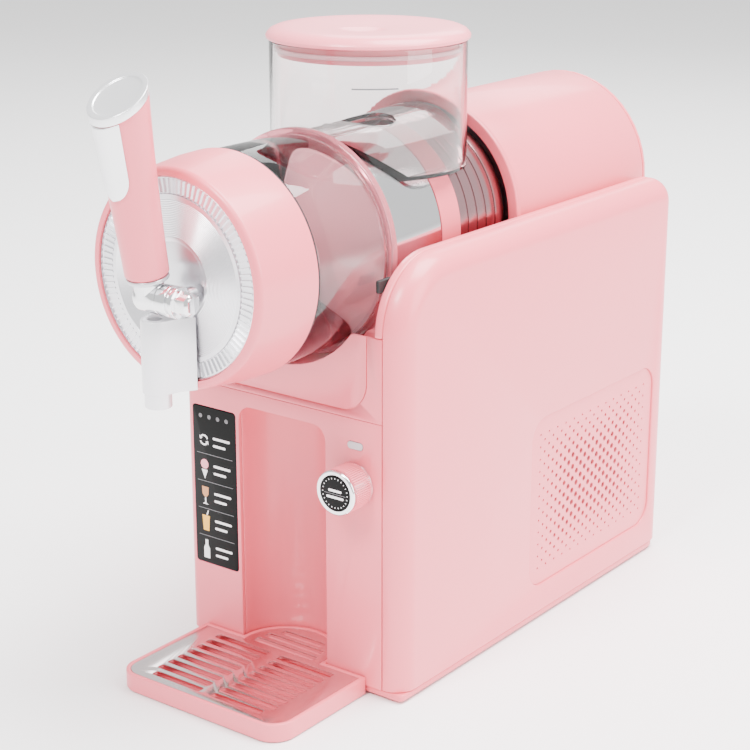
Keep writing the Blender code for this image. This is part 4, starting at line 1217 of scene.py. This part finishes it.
@dataclass
class Handle:
    """The dispensing handle, in the lean that it has at rest.

    Attributes:
        lean: The grip's lean to the front.
        slant: The further tilt of its top.
        foot: Height of the grip's foot above the pivot.
        top: Height of its top, on its middle line.
        cap: Thickness of the cap.
        wide: Radius at the top.
        narrow: Radius at the foot.
        inlay_long: Length of the inlay down the front.
        spread: Half the angle that the inlay covers, in degrees.
        gap: Distance that the cap and the inlay keep from the grip.
        ferrule_low: Height of the ferrule's foot above the pivot.
    """

    lean: float = math.radians(9.8)
    slant: float = math.radians(24)
    foot: float = 14.0 * MM
    top: float = 117.0 * MM
    cap: float = 5.0 * MM
    wide: float = 18.2 * MM
    narrow: float = 13.2 * MM
    inlay_long: float = 44.0 * MM
    spread: float = 41.0
    gap: float = FIT
    ferrule_low: float = 9.9 * MM

    def radius(self, height: float) -> float:
        """The grip's radius at a height above the pivot."""
        t = (height - self.foot) / (self.top + 8 * MM - self.foot)
        return self.narrow + (self.wide - self.narrow) * min(1.0, 0.3 * t + 0.7 * t * t)

    def sawn(self, bm: Form, height: float, keep_below: bool) -> Form:
        """Cuts a form along the slanted plane of the grip's top.

        Args:
            bm: The form, upright about the origin.
            height: Where the plane crosses the middle line.
            keep_below: Whether the lower side stays.

        Returns:
            The same form, closed again.
        """
        normal = Vector((0, -math.sin(self.slant), math.cos(self.slant))) * (1 if keep_below else -1)
        everything = bm.verts[:] + bm.edges[:] + bm.faces[:]
        cut = bmesh.ops.bisect_plane(
            bm, geom=everything, plane_co=(0, 0, height), plane_no=normal, clear_outer=True
        )
        bmesh.ops.holes_fill(bm, edges=[e for e in cut["geom_cut"] if isinstance(e, bmesh.types.BMEdge)])
        bmesh.ops.recalc_face_normals(bm, faces=bm.faces)
        return bm

    def loft(self, rings: list[list[tuple[float, float, float]]]) -> Form:
        """Joins rings of as many points each, and closes both ends.

        Args:
            rings: The rings, from the bottom up.

        Returns:
            A closed bmesh with its faces pointing out.
        """
        bm = bmesh.new()
        rows = [[bm.verts.new(point) for point in ring] for ring in rings]
        for lower, upper in zip(rows, rows[1:]):
            for i in range(len(lower)):
                j = (i + 1) % len(lower)
                bm.faces.new((lower[i], lower[j], upper[j], upper[i]))
        bm.faces.new(rows[0])
        bm.faces.new(rows[-1])
        bmesh.ops.recalc_face_normals(bm, faces=bm.faces)
        return bm

    def stand(self, name: str, bm: Form, edge_mm: float, finish: Finish, slot: str, node: str) -> None:
        """Leans a form over the pivot, softens its edges and hands it over.

        Args:
            name: The piece's name.
            bm: The form, upright about the origin.
            edge_mm: Rounding of its edges.
            finish: Its material.
            slot: The record's material slot.
            node: The node it stands for.
        """
        lay = Matrix.Translation(joint_point("handle_pivot")) @ Matrix.Rotation(self.lean, 4, "X")
        bmesh.ops.transform(bm, matrix=lay, verts=bm.verts)
        piece = soften(to_object(name, bm), edge_mm, 4, 32)
        hand_over(piece, finish, "handle", slot, node)

    def ring(self, radius: float, height: float, sides: int = 96) -> list[tuple[float, float, float]]:
        """A level circle of points."""
        return [(x, y, height) for x, y in arc((0, 0), radius, 0, 360 - 360 / sides, sides - 1)]

    def inlay_ring(self, height: float, low: float) -> list[tuple[float, float, float]]:
        """A band round the front with a raised flat along its middle. It narrows to a round end.

        Args:
            height: The ring's height above the pivot.
            low: Where the inlay's round end starts.

        Returns:
            The ring's points.
        """
        spread = self.spread
        rise = (height - low) / (13 * MM)
        if rise < 1:
            spread *= math.sqrt(max(0.02, 1 - (1 - rise) ** 2))
        near = self.radius(height) + self.gap
        inner = arc((0, 0), near, 270 + spread, 270 - spread, 16)
        outer = arc((0, 0), near + 1.45 * MM, 270 - spread * 0.3, 270 + spread * 0.3, 4)
        ends = arc((0, 0), near + 0.55 * MM, 270 - spread, 270 + spread, 1)
        return [(x, y, height) for x, y in [*inner, ends[0], *outer, ends[1]]]

    def build(self) -> None:
        """Builds the grip, its silver inlay and cap, the ferrule and the yoke."""
        pivot = joint_point("handle_pivot")
        turn = Matrix.Rotation(self.lean, 4, "X")
        reach = self.top + 9 * MM - self.foot
        heights = [self.foot + 1.5 * MM, *[self.foot + reach * i / 20 for i in range(1, 21)]]
        rings = [self.ring(self.narrow - 1.3 * MM, self.foot)]
        rings += [self.ring(self.radius(z), z) for z in heights]
        grip = self.sawn(self.loft(rings), self.top, True)
        self.stand("grip_shell", grip, 0.8, Finishes.PINK, "pink_shell", "handle_grip")

        base = self.top + self.gap / math.cos(self.slant)
        rim = self.wide - 0.05 * MM
        cap = self.loft([self.ring(rim, self.top - 12 * MM), self.ring(rim, self.top + 20 * MM)])
        cap = self.sawn(self.sawn(cap, base, False), base + self.cap, True)
        self.cap_dish(cap)
        self.stand("grip_cap", cap, 1.3, Finishes.BRIGHT_CAP, "silver_plastic", "handle_cap")

        low = self.top - self.wide * math.tan(self.slant) - self.inlay_long
        heights = [low + d * MM for d in (0.1, 0.5, 1.2, 2.2, 3.5, 5, 7, 9, 11, 13)]
        heights += [heights[-1] + (self.inlay_long - 5 * MM) * i / 8 for i in range(1, 9)]
        inlay = self.sawn(self.loft([self.inlay_ring(z, low) for z in heights]), self.top - self.gap, True)
        self.stand("grip_inlay", inlay, 0.35, Finishes.BRIGHT_CAP, "silver_plastic", "handle_inlay")

        foot_low, foot_high = self.ferrule_low, self.foot - FIT
        profile = [
            (0, foot_high), (12.6 * MM, foot_high), (12.9 * MM, foot_high - 2 * MM),
            (10 * MM, foot_low), (0, foot_low),
        ]
        ferrule = lathe("grip_ferrule", round_corners(profile, 0.5 * MM, 4), "Z", pivot, 64, turn)
        hand_over(ferrule, Finishes.SATIN_SILVER, "handle", "silver_plastic", "handle_ferrule")
        self.yoke(pivot, turn)

    def cap_dish(self, cap: Form) -> None:
        """Sinks the middle of the cap's top into a shallow oval dish.

        Args:
            cap: The cap's form, upright about the origin.
        """
        normal = Vector((0, -math.sin(self.slant), math.cos(self.slant)))
        top = max(cap.faces, key=lambda face: face.normal.dot(normal) * face.calc_area())
        for inset, depth in ((3.4, 0.0), (0.5, -0.7), (2.6, -0.25), (3.0, -0.15)):
            bmesh.ops.inset_region(
                cap, faces=[top], thickness=inset * MM, depth=depth * MM, use_even_offset=True
            )

    def yoke(self, pivot: Vector, turn: Matrix) -> None:
        """Builds the chrome elbow: a barrel across with a neck up to the ferrule.

        Args:
            pivot: The handle's pivot.
            turn: The grip's lean.
        """
        radius, right, left = 9.3 * MM, 10.5 * MM, -9.6 * MM
        bend = arc((radius - 6 * MM, left + 6 * MM), 6 * MM, 0, -90, 10)[1:]
        profile = [(0, right), (radius - 0.5 * MM, right), (radius, right - 0.5 * MM), *bend, (0, left)]
        yoke = lathe("yoke_elbow", profile, "X", pivot, 72)
        neck = rod("neck", "Z", pivot, 9.1 * MM, 0, 9.6 * MM, 72, turn)
        carve(yoke, [neck], "UNION")
        bore = rod("bore", "X", pivot, 4.4 * MM, -7.5 * MM, 12 * MM, 48)
        carve(yoke, [bore])
        soften(yoke, 0.8, 3, 40)
        hand_over(yoke, Finishes.CHROME, "handle", "chrome", "handle_yoke")


@dataclass
class Hopper:
    """The clear hopper on the drum, and its lid.

    Attributes:
        wall: Thickness of the hopper's wall and floor.
        seat: Radius of its foot, where it sits on the drum.
        clearance: Distance of the lid's skirt from the wall.
        skirt: Thickness of the lid's skirt.
        dish: Radius of the ball that shapes the lid's finger recess.
        dish_depth: Depth of the recess below the lid's top.
        mark_drop: Distance of the level mark below the rim.
    """

    wall: float = 2.4 * MM
    seat: float = 66.3 * MM
    clearance: float = 2.4 * MM
    skirt: float = 2.6 * MM
    dish: float = 60 * MM
    dish_depth: float = 2.4 * MM
    mark_drop: float = 24 * MM

    def shell(self) -> None:
        """Builds the clear hopper with its saddle floor and a level mark."""
        low, high = span("hopper_shell")
        axis = drum_point()
        centre = Vector((axis.x, (low.y + high.y) / 2, 0))
        radius = (high.y - low.y) / 2
        inner = radius - self.wall
        lip = arc((radius - MM, high.z - MM), MM, 90, 0, 4)
        profile = [(0, high.z), *lip, (radius, low.z), (0, low.z)]
        shell = lathe("hopper_body", profile, "Z", centre, 144)
        hollow = rod("hollow", "Z", centre, inner, low.z + self.wall, high.z + MM, 144)
        front, back = low.y - 5 * MM, high.y + 5 * MM
        carve(hollow, [rod("rise", "Y", drum_axis(), self.seat + self.wall, front, back, 144)])
        saddle = rod("saddle", "Y", drum_axis(), self.seat, front - MM, back + MM, 144)
        carve(shell, [hollow, saddle, rod("outlet", "Z", centre, PORT_RADIUS, axis.z, high.z, 64)])
        soften(shell, 0.5, 2, 50)
        hand_over(shell, Finishes.CLEAR, "hopper", "clear_bowl", "hopper_shell")
        self.level_mark(centre, radius, high.z)

    def level_mark(self, centre: Vector, radius: float, top: float) -> None:
        """Builds a short raised line that shows how full the hopper may be.

        Args:
            centre: A point on the hopper's middle line.
            radius: Its outer radius.
            top: Height of its rim.
        """
        bm = bmesh.new()
        height, tall, reach = top - self.mark_drop, 0.9 * MM, radius + 0.12 * MM
        steps, start, sweep = 12, -62, 26
        for i in range(steps + 1):
            angle = math.radians(start + sweep * i / steps)
            x, y = centre.x + reach * math.cos(angle), centre.y + reach * math.sin(angle)
            for lift in (0, tall):
                bm.verts.new((x, y, height + lift))
        bm.verts.ensure_lookup_table()
        for i in range(0, 2 * steps, 2):
            bm.faces.new([bm.verts[k] for k in (i, i + 2, i + 3, i + 1)])
        mark = to_object("level_mark", bm)
        thick = mark.modifiers.new("thick", "SOLIDIFY")
        thick.thickness = 0.3 * MM
        thick.offset = 1
        settle(mark)
        hand_over(mark, Finishes.INK_GREY, "hopper", "clear_bowl")

    def lid(self) -> None:
        """Builds the lid with its inner skirt and a shallow finger recess."""
        low, high = span("hopper_lid")
        axis = middle("hopper_lid")
        centre = Vector((axis.x, axis.y, 0))
        rim = (high.y - low.y) / 2
        below, above = span("hopper_shell")
        seat = (above.y - below.y) / 2 - self.wall - self.clearance
        rest = above.z + FIT
        flat = rim - 12 * MM
        crown = [(flat - flat * i / 8, high.z - MM * (i / 8) ** 2) for i in range(8, -1, -1)]
        profile = [
            *crown, (rim - 6 * MM, high.z - 0.7 * MM), (rim - 2.6 * MM, high.z - 2.2 * MM),
            (rim - 0.7 * MM, high.z - 4.2 * MM), (rim, rest + 2.2 * MM),
            (rim - 0.2 * MM, rest + 0.5 * MM), (rim - 0.8 * MM, rest), (seat, rest), (seat, low.z),
            (seat - self.skirt, low.z), (seat - self.skirt, rest + 1.7 * MM), (0, rest + 3.7 * MM),
        ]
        lid = lathe("lid_shell", profile, "Z", centre, 144)
        scoop_height = high.z + self.dish - self.dish_depth
        scoop_place = Vector((centre.x + 8 * MM, centre.y - rim * 0.25, scoop_height))
        bm = bmesh.new()
        bmesh.ops.create_uvsphere(bm, u_segments=96, v_segments=64, radius=self.dish)
        bmesh.ops.translate(bm, verts=bm.verts, vec=scoop_place)
        carve(lid, [to_object("scoop", bm)])
        hand_over(lid, Finishes.PINK_PALE, "lid", "pink_shell", "hopper_lid")
        low, high = span("lid_seal")
        radii = ((high.y - low.y) / 2, seat + FIT)
        gasket = tube("lid_gasket", "Z", centre, radii, (low.z, high.z), 0.8 * MM, 5)
        hand_over(gasket, Finishes.NYLON, "lid", "white_plastic", "lid_seal")

    def build(self) -> None:
        """Builds the hopper and its lid."""
        self.shell()
        self.lid()


class Icon(Enum):
    """Generic programme symbols on the display."""

    CYCLE = "cycle"
    CONE = "cone"
    GOBLET = "goblet"
    TUMBLER = "tumbler"
    BOTTLE = "bottle"


@dataclass
class Controls:
    """The display, the indicator, the knob and its round screen.

    Attributes:
        knurls: Bars round the knob's grip.
        ticks: Dots round the knob's screen.
        proud: Height of the printing above the glass.
        rows: Programmes on the display.
        heading: Height of the display's top strip.
    """

    knurls: int = 64
    ticks: int = 24
    proud: float = 0.12 * MM
    rows: int = 5
    heading: float = 14 * MM

    def decal(self, name: str, outline: Profile, ink: Finish, face: float, body: str = "housing") -> None:
        """Prints a shape in X and Z, just proud of a face that looks towards -Y."""
        piece = prism(name, outline, "Y", face - self.proud, face + 0.05 * MM)
        hand_over(piece, ink, body, "black_gloss")

    def display(self) -> None:
        """Builds the display glass, its dividers and generic programme symbols."""
        low, high = span("display_window")
        outline = rounded_box((low.x, low.z), (high.x, high.z), [2 * MM] * 4, 6)
        glass = soften(prism("display_glass", outline, "Y", low.y, high.y), 0.4, 3, 50)
        hand_over(glass, Finishes.BLACK_GLASS, "housing", "black_gloss", "display_window")
        top = high.z - self.heading
        pitch = (top - low.z) / self.rows
        symbols = (
            (Icon.CYCLE, Finishes.INK_WHITE), (Icon.CONE, Finishes.INK_PINK),
            (Icon.GOBLET, Finishes.INK_BROWN), (Icon.TUMBLER, Finishes.INK_AMBER),
            (Icon.BOTTLE, Finishes.INK_WHITE),
        )
        for row, (icon, finish) in enumerate(symbols):
            centre = Vector((low.x + 9.5 * MM, 0, top - (row + 0.5) * pitch))
            for part, outline in enumerate(self.symbol(icon, centre)):
                ink = finish if part == 0 else Finishes.INK_WHITE
                self.decal(f"symbol_{icon.value}_{part + 1}", outline, ink, low.y)
            for line in range(2):
                z = centre.z + (1.6 - 5.2 * line) * MM
                wide = (15 - 4 * line) * MM
                left = centre.x + 8 * MM
                bar = rounded_box((left, z), (left + wide, z + 1.7 * MM), [0.8 * MM] * 4, 3)
                self.decal(f"caption_bar_{row + 1}_{line + 1}", bar, Finishes.INK_WHITE, low.y)
            if row:
                z = top - row * pitch
                rule = rect(low.x + 3 * MM, z, high.x - 3 * MM, z + 0.4 * MM)
                self.decal(f"divider_{row}", rule, Finishes.INK_GREY, low.y)
        for index in range(4):
            x = low.x + (7 + 7.6 * index) * MM
            dot = arc((x, high.z - self.heading / 2), 1.5 * MM, 0, 345, 15)
            self.decal(f"status_dot_{index + 1}", dot, Finishes.INK_GREY, low.y)

    def symbol(self, icon: Icon, at: Vector) -> list[Outline]:
        """The outlines of a symbol, centred on a point.

        Args:
            icon: Which symbol.
            at: Its centre.

        Returns:
            One outline or more, in X and Z.
        """
        def shape(points: Profile) -> Outline:
            """Points in millimetres about the centre."""
            return [(at.x + x * MM, at.z + z * MM) for x, z in points]

        if icon is Icon.CYCLE:
            halves = []
            for start in (20, 200):
                end = start + 125
                barbs = ((4.9, end), (3.4, end + 32), (1.7, end))
                head = [arc((0, 0), far, turn, turn, 1)[0] for far, turn in barbs]
                outer, inner = arc((0, 0), 3.9, start, end, 12), arc((0, 0), 2.7, end, start, 12)
                halves.append(shape([*outer, *head, *inner]))
            return halves
        if icon is Icon.CONE:
            return [shape(arc((0, 2.6), 3.4, 0, 345, 18)), shape([(-2.6, -1.4), (0, -8), (2.6, -1.4)])]
        if icon is Icon.GOBLET:
            return [
                shape([(-3, 6), (-2.6, 0.6), (-1, -1.2), (1, -1.2), (2.6, 0.6), (3, 6)]),
                shape([(-0.5, -1.6), (-0.5, -5.4), (-2.6, -6.6), (2.6, -6.6), (0.5, -5.4), (0.5, -1.6)]),
            ]
        if icon is Icon.TUMBLER:
            straw = [(0.4, 5.4), (1.8, 9), (2.6, 8.7), (1.4, 5.4)]
            return [shape([(-3.3, 5), (-2.5, -6), (2.5, -6), (3.3, 5)]), shape(straw)]
        half = [(-1.2, 7), (-1.2, 3.4), (-2.6, 0.8), (-2.6, -6.4)]
        return [shape([*half, *[(-x, z) for x, z in reversed(half)]])]

    def lens(self) -> None:
        """Builds the indicator lens."""
        low, high = span("indicator_lens")
        outline = rounded_box((low.x, low.z), (high.x, high.z), [2.3 * MM] * 4, 8)
        lens = soften(prism("indicator_pill", outline, "Y", low.y, high.y), 0.3, 3, 50)
        hand_over(lens, Finishes.LENS, "housing", "silver_plastic", "indicator_lens")

    def knob(self) -> None:
        """Builds the knurled knob with a bright rim."""
        low, high = span("control_knob")
        centre = Vector((joint_point("knob_turn").x, 0, joint_point("knob_turn").z))
        radius = (high.x - low.x) / 2
        front = low.y
        well, back = front + 15 * MM, front + 20.6 * MM
        body = radius - 0.5 * MM
        profile = [
            (0, high.y), (5 * MM, high.y), (5 * MM, back), (body, back), (body, back - MM),
            (body - 0.5 * MM, back - 2 * MM), (body - 0.5 * MM, front + 3.4 * MM),
            (body, front + 3 * MM), *arc((radius - 1.4 * MM, front + 1.4 * MM), 1.4 * MM, 0, -90, 8),
            (radius - 3 * MM, front + 0.3 * MM), (radius - 3 * MM, well), (0, well),
        ]
        knob = lathe("knob_barrel", profile, "Y", centre, 96)
        hand_over(knob, Finishes.CHROME, "knob", "silver_plastic", "control_knob")
        grip = empty_piece("knob_knurls")
        sizes = {
            "Count": float(self.knurls), "Radius": body - 0.1 * MM, "Long": 1.0 * MM, "Wide": 0.75 * MM,
            "Tall": back - front - 6 * MM, "X": centre.x, "Y": (front + back) / 2 + 0.8 * MM, "Z": centre.z,
        }
        ring_pattern("knurling", Finishes.PINK_PALE).run(grip, sizes)
        hand_over(grip, Finishes.PINK_PALE, "knob", "silver_plastic")

    def screen(self) -> None:
        """Builds the round screen in the knob, with a ring of tick dots."""
        low, high = span("knob_screen")
        centre = Vector((joint_point("knob_turn").x, 0, joint_point("knob_turn").z))
        radius = (high.x - low.x) / 2
        edge = 0.8 * MM
        rounding = arc((radius - edge, low.y + edge), edge, 0, -90, 5)
        profile = [(0, high.y), (radius, high.y), (radius, low.y + edge), *rounding, (0, low.y)]
        glass = lathe("knob_glass", profile, "Y", centre, 96)
        hand_over(glass, Finishes.BLACK_GLASS, "knob_button", "black_gloss", "knob_screen")
        ticks = empty_piece("knob_ticks")
        sizes = {
            "Count": float(self.ticks), "Radius": radius - 2 * MM, "Long": 0.8 * MM, "Wide": 0.5 * MM,
            "Tall": 0.2 * MM, "X": centre.x, "Y": low.y, "Z": centre.z,
        }
        ring_pattern("screen_ticks", Finishes.INK_WHITE).run(ticks, sizes)
        hand_over(ticks, Finishes.INK_WHITE, "knob_button", "black_gloss")
        for line, wide in enumerate((5.2, 6.8)):
            z = centre.z + (1.6 - 4.4 * line) * MM
            half, tall = wide * MM, 0.8 * MM
            bar = rounded_box((centre.x - half, z - tall), (centre.x + half, z + tall), [0.7 * MM] * 4, 3)
            self.decal(f"knob_bar_{line + 1}", bar, Finishes.INK_WHITE, low.y, "knob_button")
        reach, level = 0.72 * radius, centre.z - 0.6 * MM
        rule = rect(centre.x - reach, level - 0.15 * MM, centre.x + reach, level + 0.15 * MM)
        self.decal("knob_divider", rule, Finishes.INK_GREY, low.y, "knob_button")

    def build(self) -> None:
        """Builds all the controls."""
        self.display()
        self.lens()
        self.knob()
        self.screen()


@dataclass
class Tray:
    """The drip tray and its slotted grid.

    Attributes:
        rows: Pairs of slots in the grid's square part.
        tongue: Radius of the round tongue under the cup recess.
        corner: Rounding of the front corners.
        step: Height of the base plate's edge, which the tongue clears.
        pitch: Distance from one slot to the next.
        slot_half: Half the width of a slot.
        seat: Distance of the grid's seat from the outer sides.
        rim: Distance of the pan from the outer sides.
    """

    rows: int = 8
    tongue: float = 35.5 * MM
    corner: float = 16 * MM
    step: float = 6.9 * MM
    pitch: float = 9.4 * MM
    slot_half: float = 2.9 * MM
    seat: float = 3 * MM
    rim: float = 7 * MM

    def outline(self, inset: float, tongue_inset: float) -> Outline:
        """The tray from above, moved inwards.

        Args:
            inset: How far the straight sides move in.
            tongue_inset: How far the round tongue does.

        Returns:
            Points in X and Y.
        """
        low, high = span("drip_tray")
        centre = (low.x + high.x) / 2
        left, right = low.x + inset, high.x - inset
        front = low.y + inset
        back = high.y - self.tongue - 0.6 * MM - inset
        corner = self.corner - inset
        hub = high.y - self.tongue
        reach = self.tongue - tongue_inset
        bulge = math.degrees(math.asin((hub - back) / reach))
        return [
            *arc((left + corner, front + corner), corner, 180, 270, 12),
            *arc((right - corner, front + corner), corner, 270, 360, 12),
            (right, back), *arc((centre, hub), reach, -bulge, 180 + bulge, 48), (left, back),
        ]

    def build(self) -> None:
        """Builds the tray and the grid with round-ended slots."""
        low, high = span("drip_tray")
        grid_low, grid_high = span("drip_grid")
        tray = prism("tray_shell", self.outline(0, 0), "Z", low.z, high.z)
        seat = prism("seat", self.outline(self.seat, self.seat), "Z", grid_low.z - FIT, high.z + MM)
        rim = self.rim
        pan_box = rounded_box(
            (low.x + rim, low.y + rim), (high.x - rim, high.y - self.tongue - rim), [9 * MM] * 4
        )
        pan = prism("pan", pan_box, "Z", low.z + 2 * MM, high.z)
        below = rect(low.x - MM, high.y - self.tongue - 0.6 * MM, high.x + MM, high.y + MM)
        under = prism("under", below, "Z", low.z - MM, self.step)
        carve(tray, [seat, pan, under])
        soften(tray, 1.0, 4, 50)
        hand_over(tray, Finishes.PINK, "tray", "pink_shell", "drip_tray")

        edge = self.seat + FIT
        grid = prism("grid_plate", self.outline(edge, edge), "Z", grid_low.z, grid_high.z)
        centre = (low.x + high.x) / 2
        pitch, half = self.pitch, self.slot_half
        slots = []
        for row in range(self.rows):
            y = low.y + 12.2 * MM + pitch * row
            for side in (-1, 1):
                ends = sorted((centre + side * 4.5 * MM, centre + side * (50 if row else 46) * MM))
                outline = rounded_box((ends[0], y - half), (ends[1], y + half), [1.6 * MM] * 4, 5)
                slots.append(prism(f"slot_{row}_{side}", outline, "Z", grid_low.z - MM, grid_high.z + MM))
        for row in range(3):
            y = high.y - self.tongue + 0.5 * MM + pitch * row
            wide = math.sqrt(max((27 * MM) ** 2 - (y - high.y + self.tongue) ** 2, 0)) - 1 * MM
            outline = rounded_box((centre - wide, y - half), (centre + wide, y + half), [1.6 * MM] * 4, 5)
            slots.append(prism(f"tongue_slot_{row}", outline, "Z", grid_low.z - MM, grid_high.z + MM))
        carve(grid, slots)
        soften(grid, 0.4, 2, 50)
        hand_over(grid, Finishes.GRID_STEEL, "grid", "steel", "drip_grid")
        LOG.info("grid pitch %.1f mm", pitch / MM)


class Plant:
    """The pieces inside and below, which keep their own meshes."""

    NODES_OF = (
        (Finishes.IRON, "compressor gear_motor fan_motor"),
        (Finishes.FINS, "condenser motor_bracket"),
        (Finishes.RUBBER, "fan_shroud fan_rotor power_inlet drum_seal cylinder_gasket bowl_latch"),
        (Finishes.RUBBER, "foot_front_left foot_front_right foot_rear_left foot_rear_right"),
        (Finishes.BOARD, "power_board display_board"),
        (Finishes.NYLON, "drive_coupling"),
        (Finishes.MIRROR_STEEL, "valve_plunger"),
        (Finishes.CHROME, "pivot_pin"),
    )

    def build(self) -> None:
        """Dresses each node."""
        for finish, nodes in self.NODES_OF:
            for node in nodes.split():
                dress(frame["nodes"][node], finish)
                LOG.info("%s keeps its mesh, in %s", node, finish.name)


@dataclass
class Studio:
    """A pale floor, soft light and the camera."""

    azimuth: float = 37.1
    elevation: float = 17.7
    distance: float = 1.2
    lens: float = 89.6
    target: tuple[float, float, float] = (0.039, -0.054, 0.204)

    def floor(self) -> None:
        """Lays a wide pale floor."""
        bm = bmesh.new()
        bmesh.ops.create_grid(bm, x_segments=1, y_segments=1, size=6)
        floor = dress(to_object("studio_floor", bm), Finishes.FLOOR)

    def light(self, name: str, place: Vector, size: float, power: float) -> None:
        """Hangs a square soft light that faces the machine.

        Args:
            name: The light's name.
            place: Where it hangs.
            size: Its side.
            power: Watts.
        """
        lamp = bpy.data.lights.new(name, "AREA")
        lamp.size = size
        lamp.energy = power
        holder = bpy.data.objects.new(name, lamp)
        holder.location = place
        holder.rotation_euler = (Vector((0, 0, 0.2)) - place).to_track_quat("-Z", "Y").to_euler()
        bpy.context.scene.collection.objects.link(holder)

    def world(self) -> None:
        """Fills the room with even pale light."""
        world = bpy.data.worlds.new("studio_room")
        world.use_nodes = True
        background = world.node_tree.nodes["Background"]
        background.inputs["Color"].default_value = linear("FFFFFF")
        background.inputs["Strength"].default_value = 1.25
        bpy.context.scene.world = world

    def camera(self) -> None:
        """Sets the camera at the viewing angle."""
        turn, lift = math.radians(self.azimuth), math.radians(self.elevation)
        back = Vector((math.sin(turn) * math.cos(lift), -math.cos(turn) * math.cos(lift), math.sin(lift)))
        camera = bpy.data.objects.new("camera", bpy.data.cameras.new("camera"))
        camera.data.lens = self.lens
        camera.data.sensor_width = 36
        camera.location = Vector(self.target) + back * self.distance
        camera.rotation_euler = back.to_track_quat("Z", "Y").to_euler()
        bpy.context.scene.collection.objects.link(camera)
        bpy.context.scene.camera = camera

    def build(self) -> None:
        """Builds the studio."""
        self.floor()
        self.world()
        self.light("key_above", Vector((0.6, 0.5, 2.2)), 1.5, 190)
        self.light("side_right", Vector((2.2, 0.3, 1.0)), 1.4, 50)
        self.light("front_above", Vector((0.0, -1.7, 2.1)), 0.8, 85)
        self.light("rim_behind", Vector((-0.9, 1.8, 1.6)), 1.2, 24)
        self.camera()


def main() -> None:
    """Builds the machine, piece by piece, and the studio round it."""
    Studio().build()
    for assembly in (Casing(), DrumLine(), Handle(), Hopper(), Controls(), Tray(), Plant()):
        LOG.info("building %s", type(assembly).__name__)
        assembly.build()


if __name__ == "__main__":
    main()
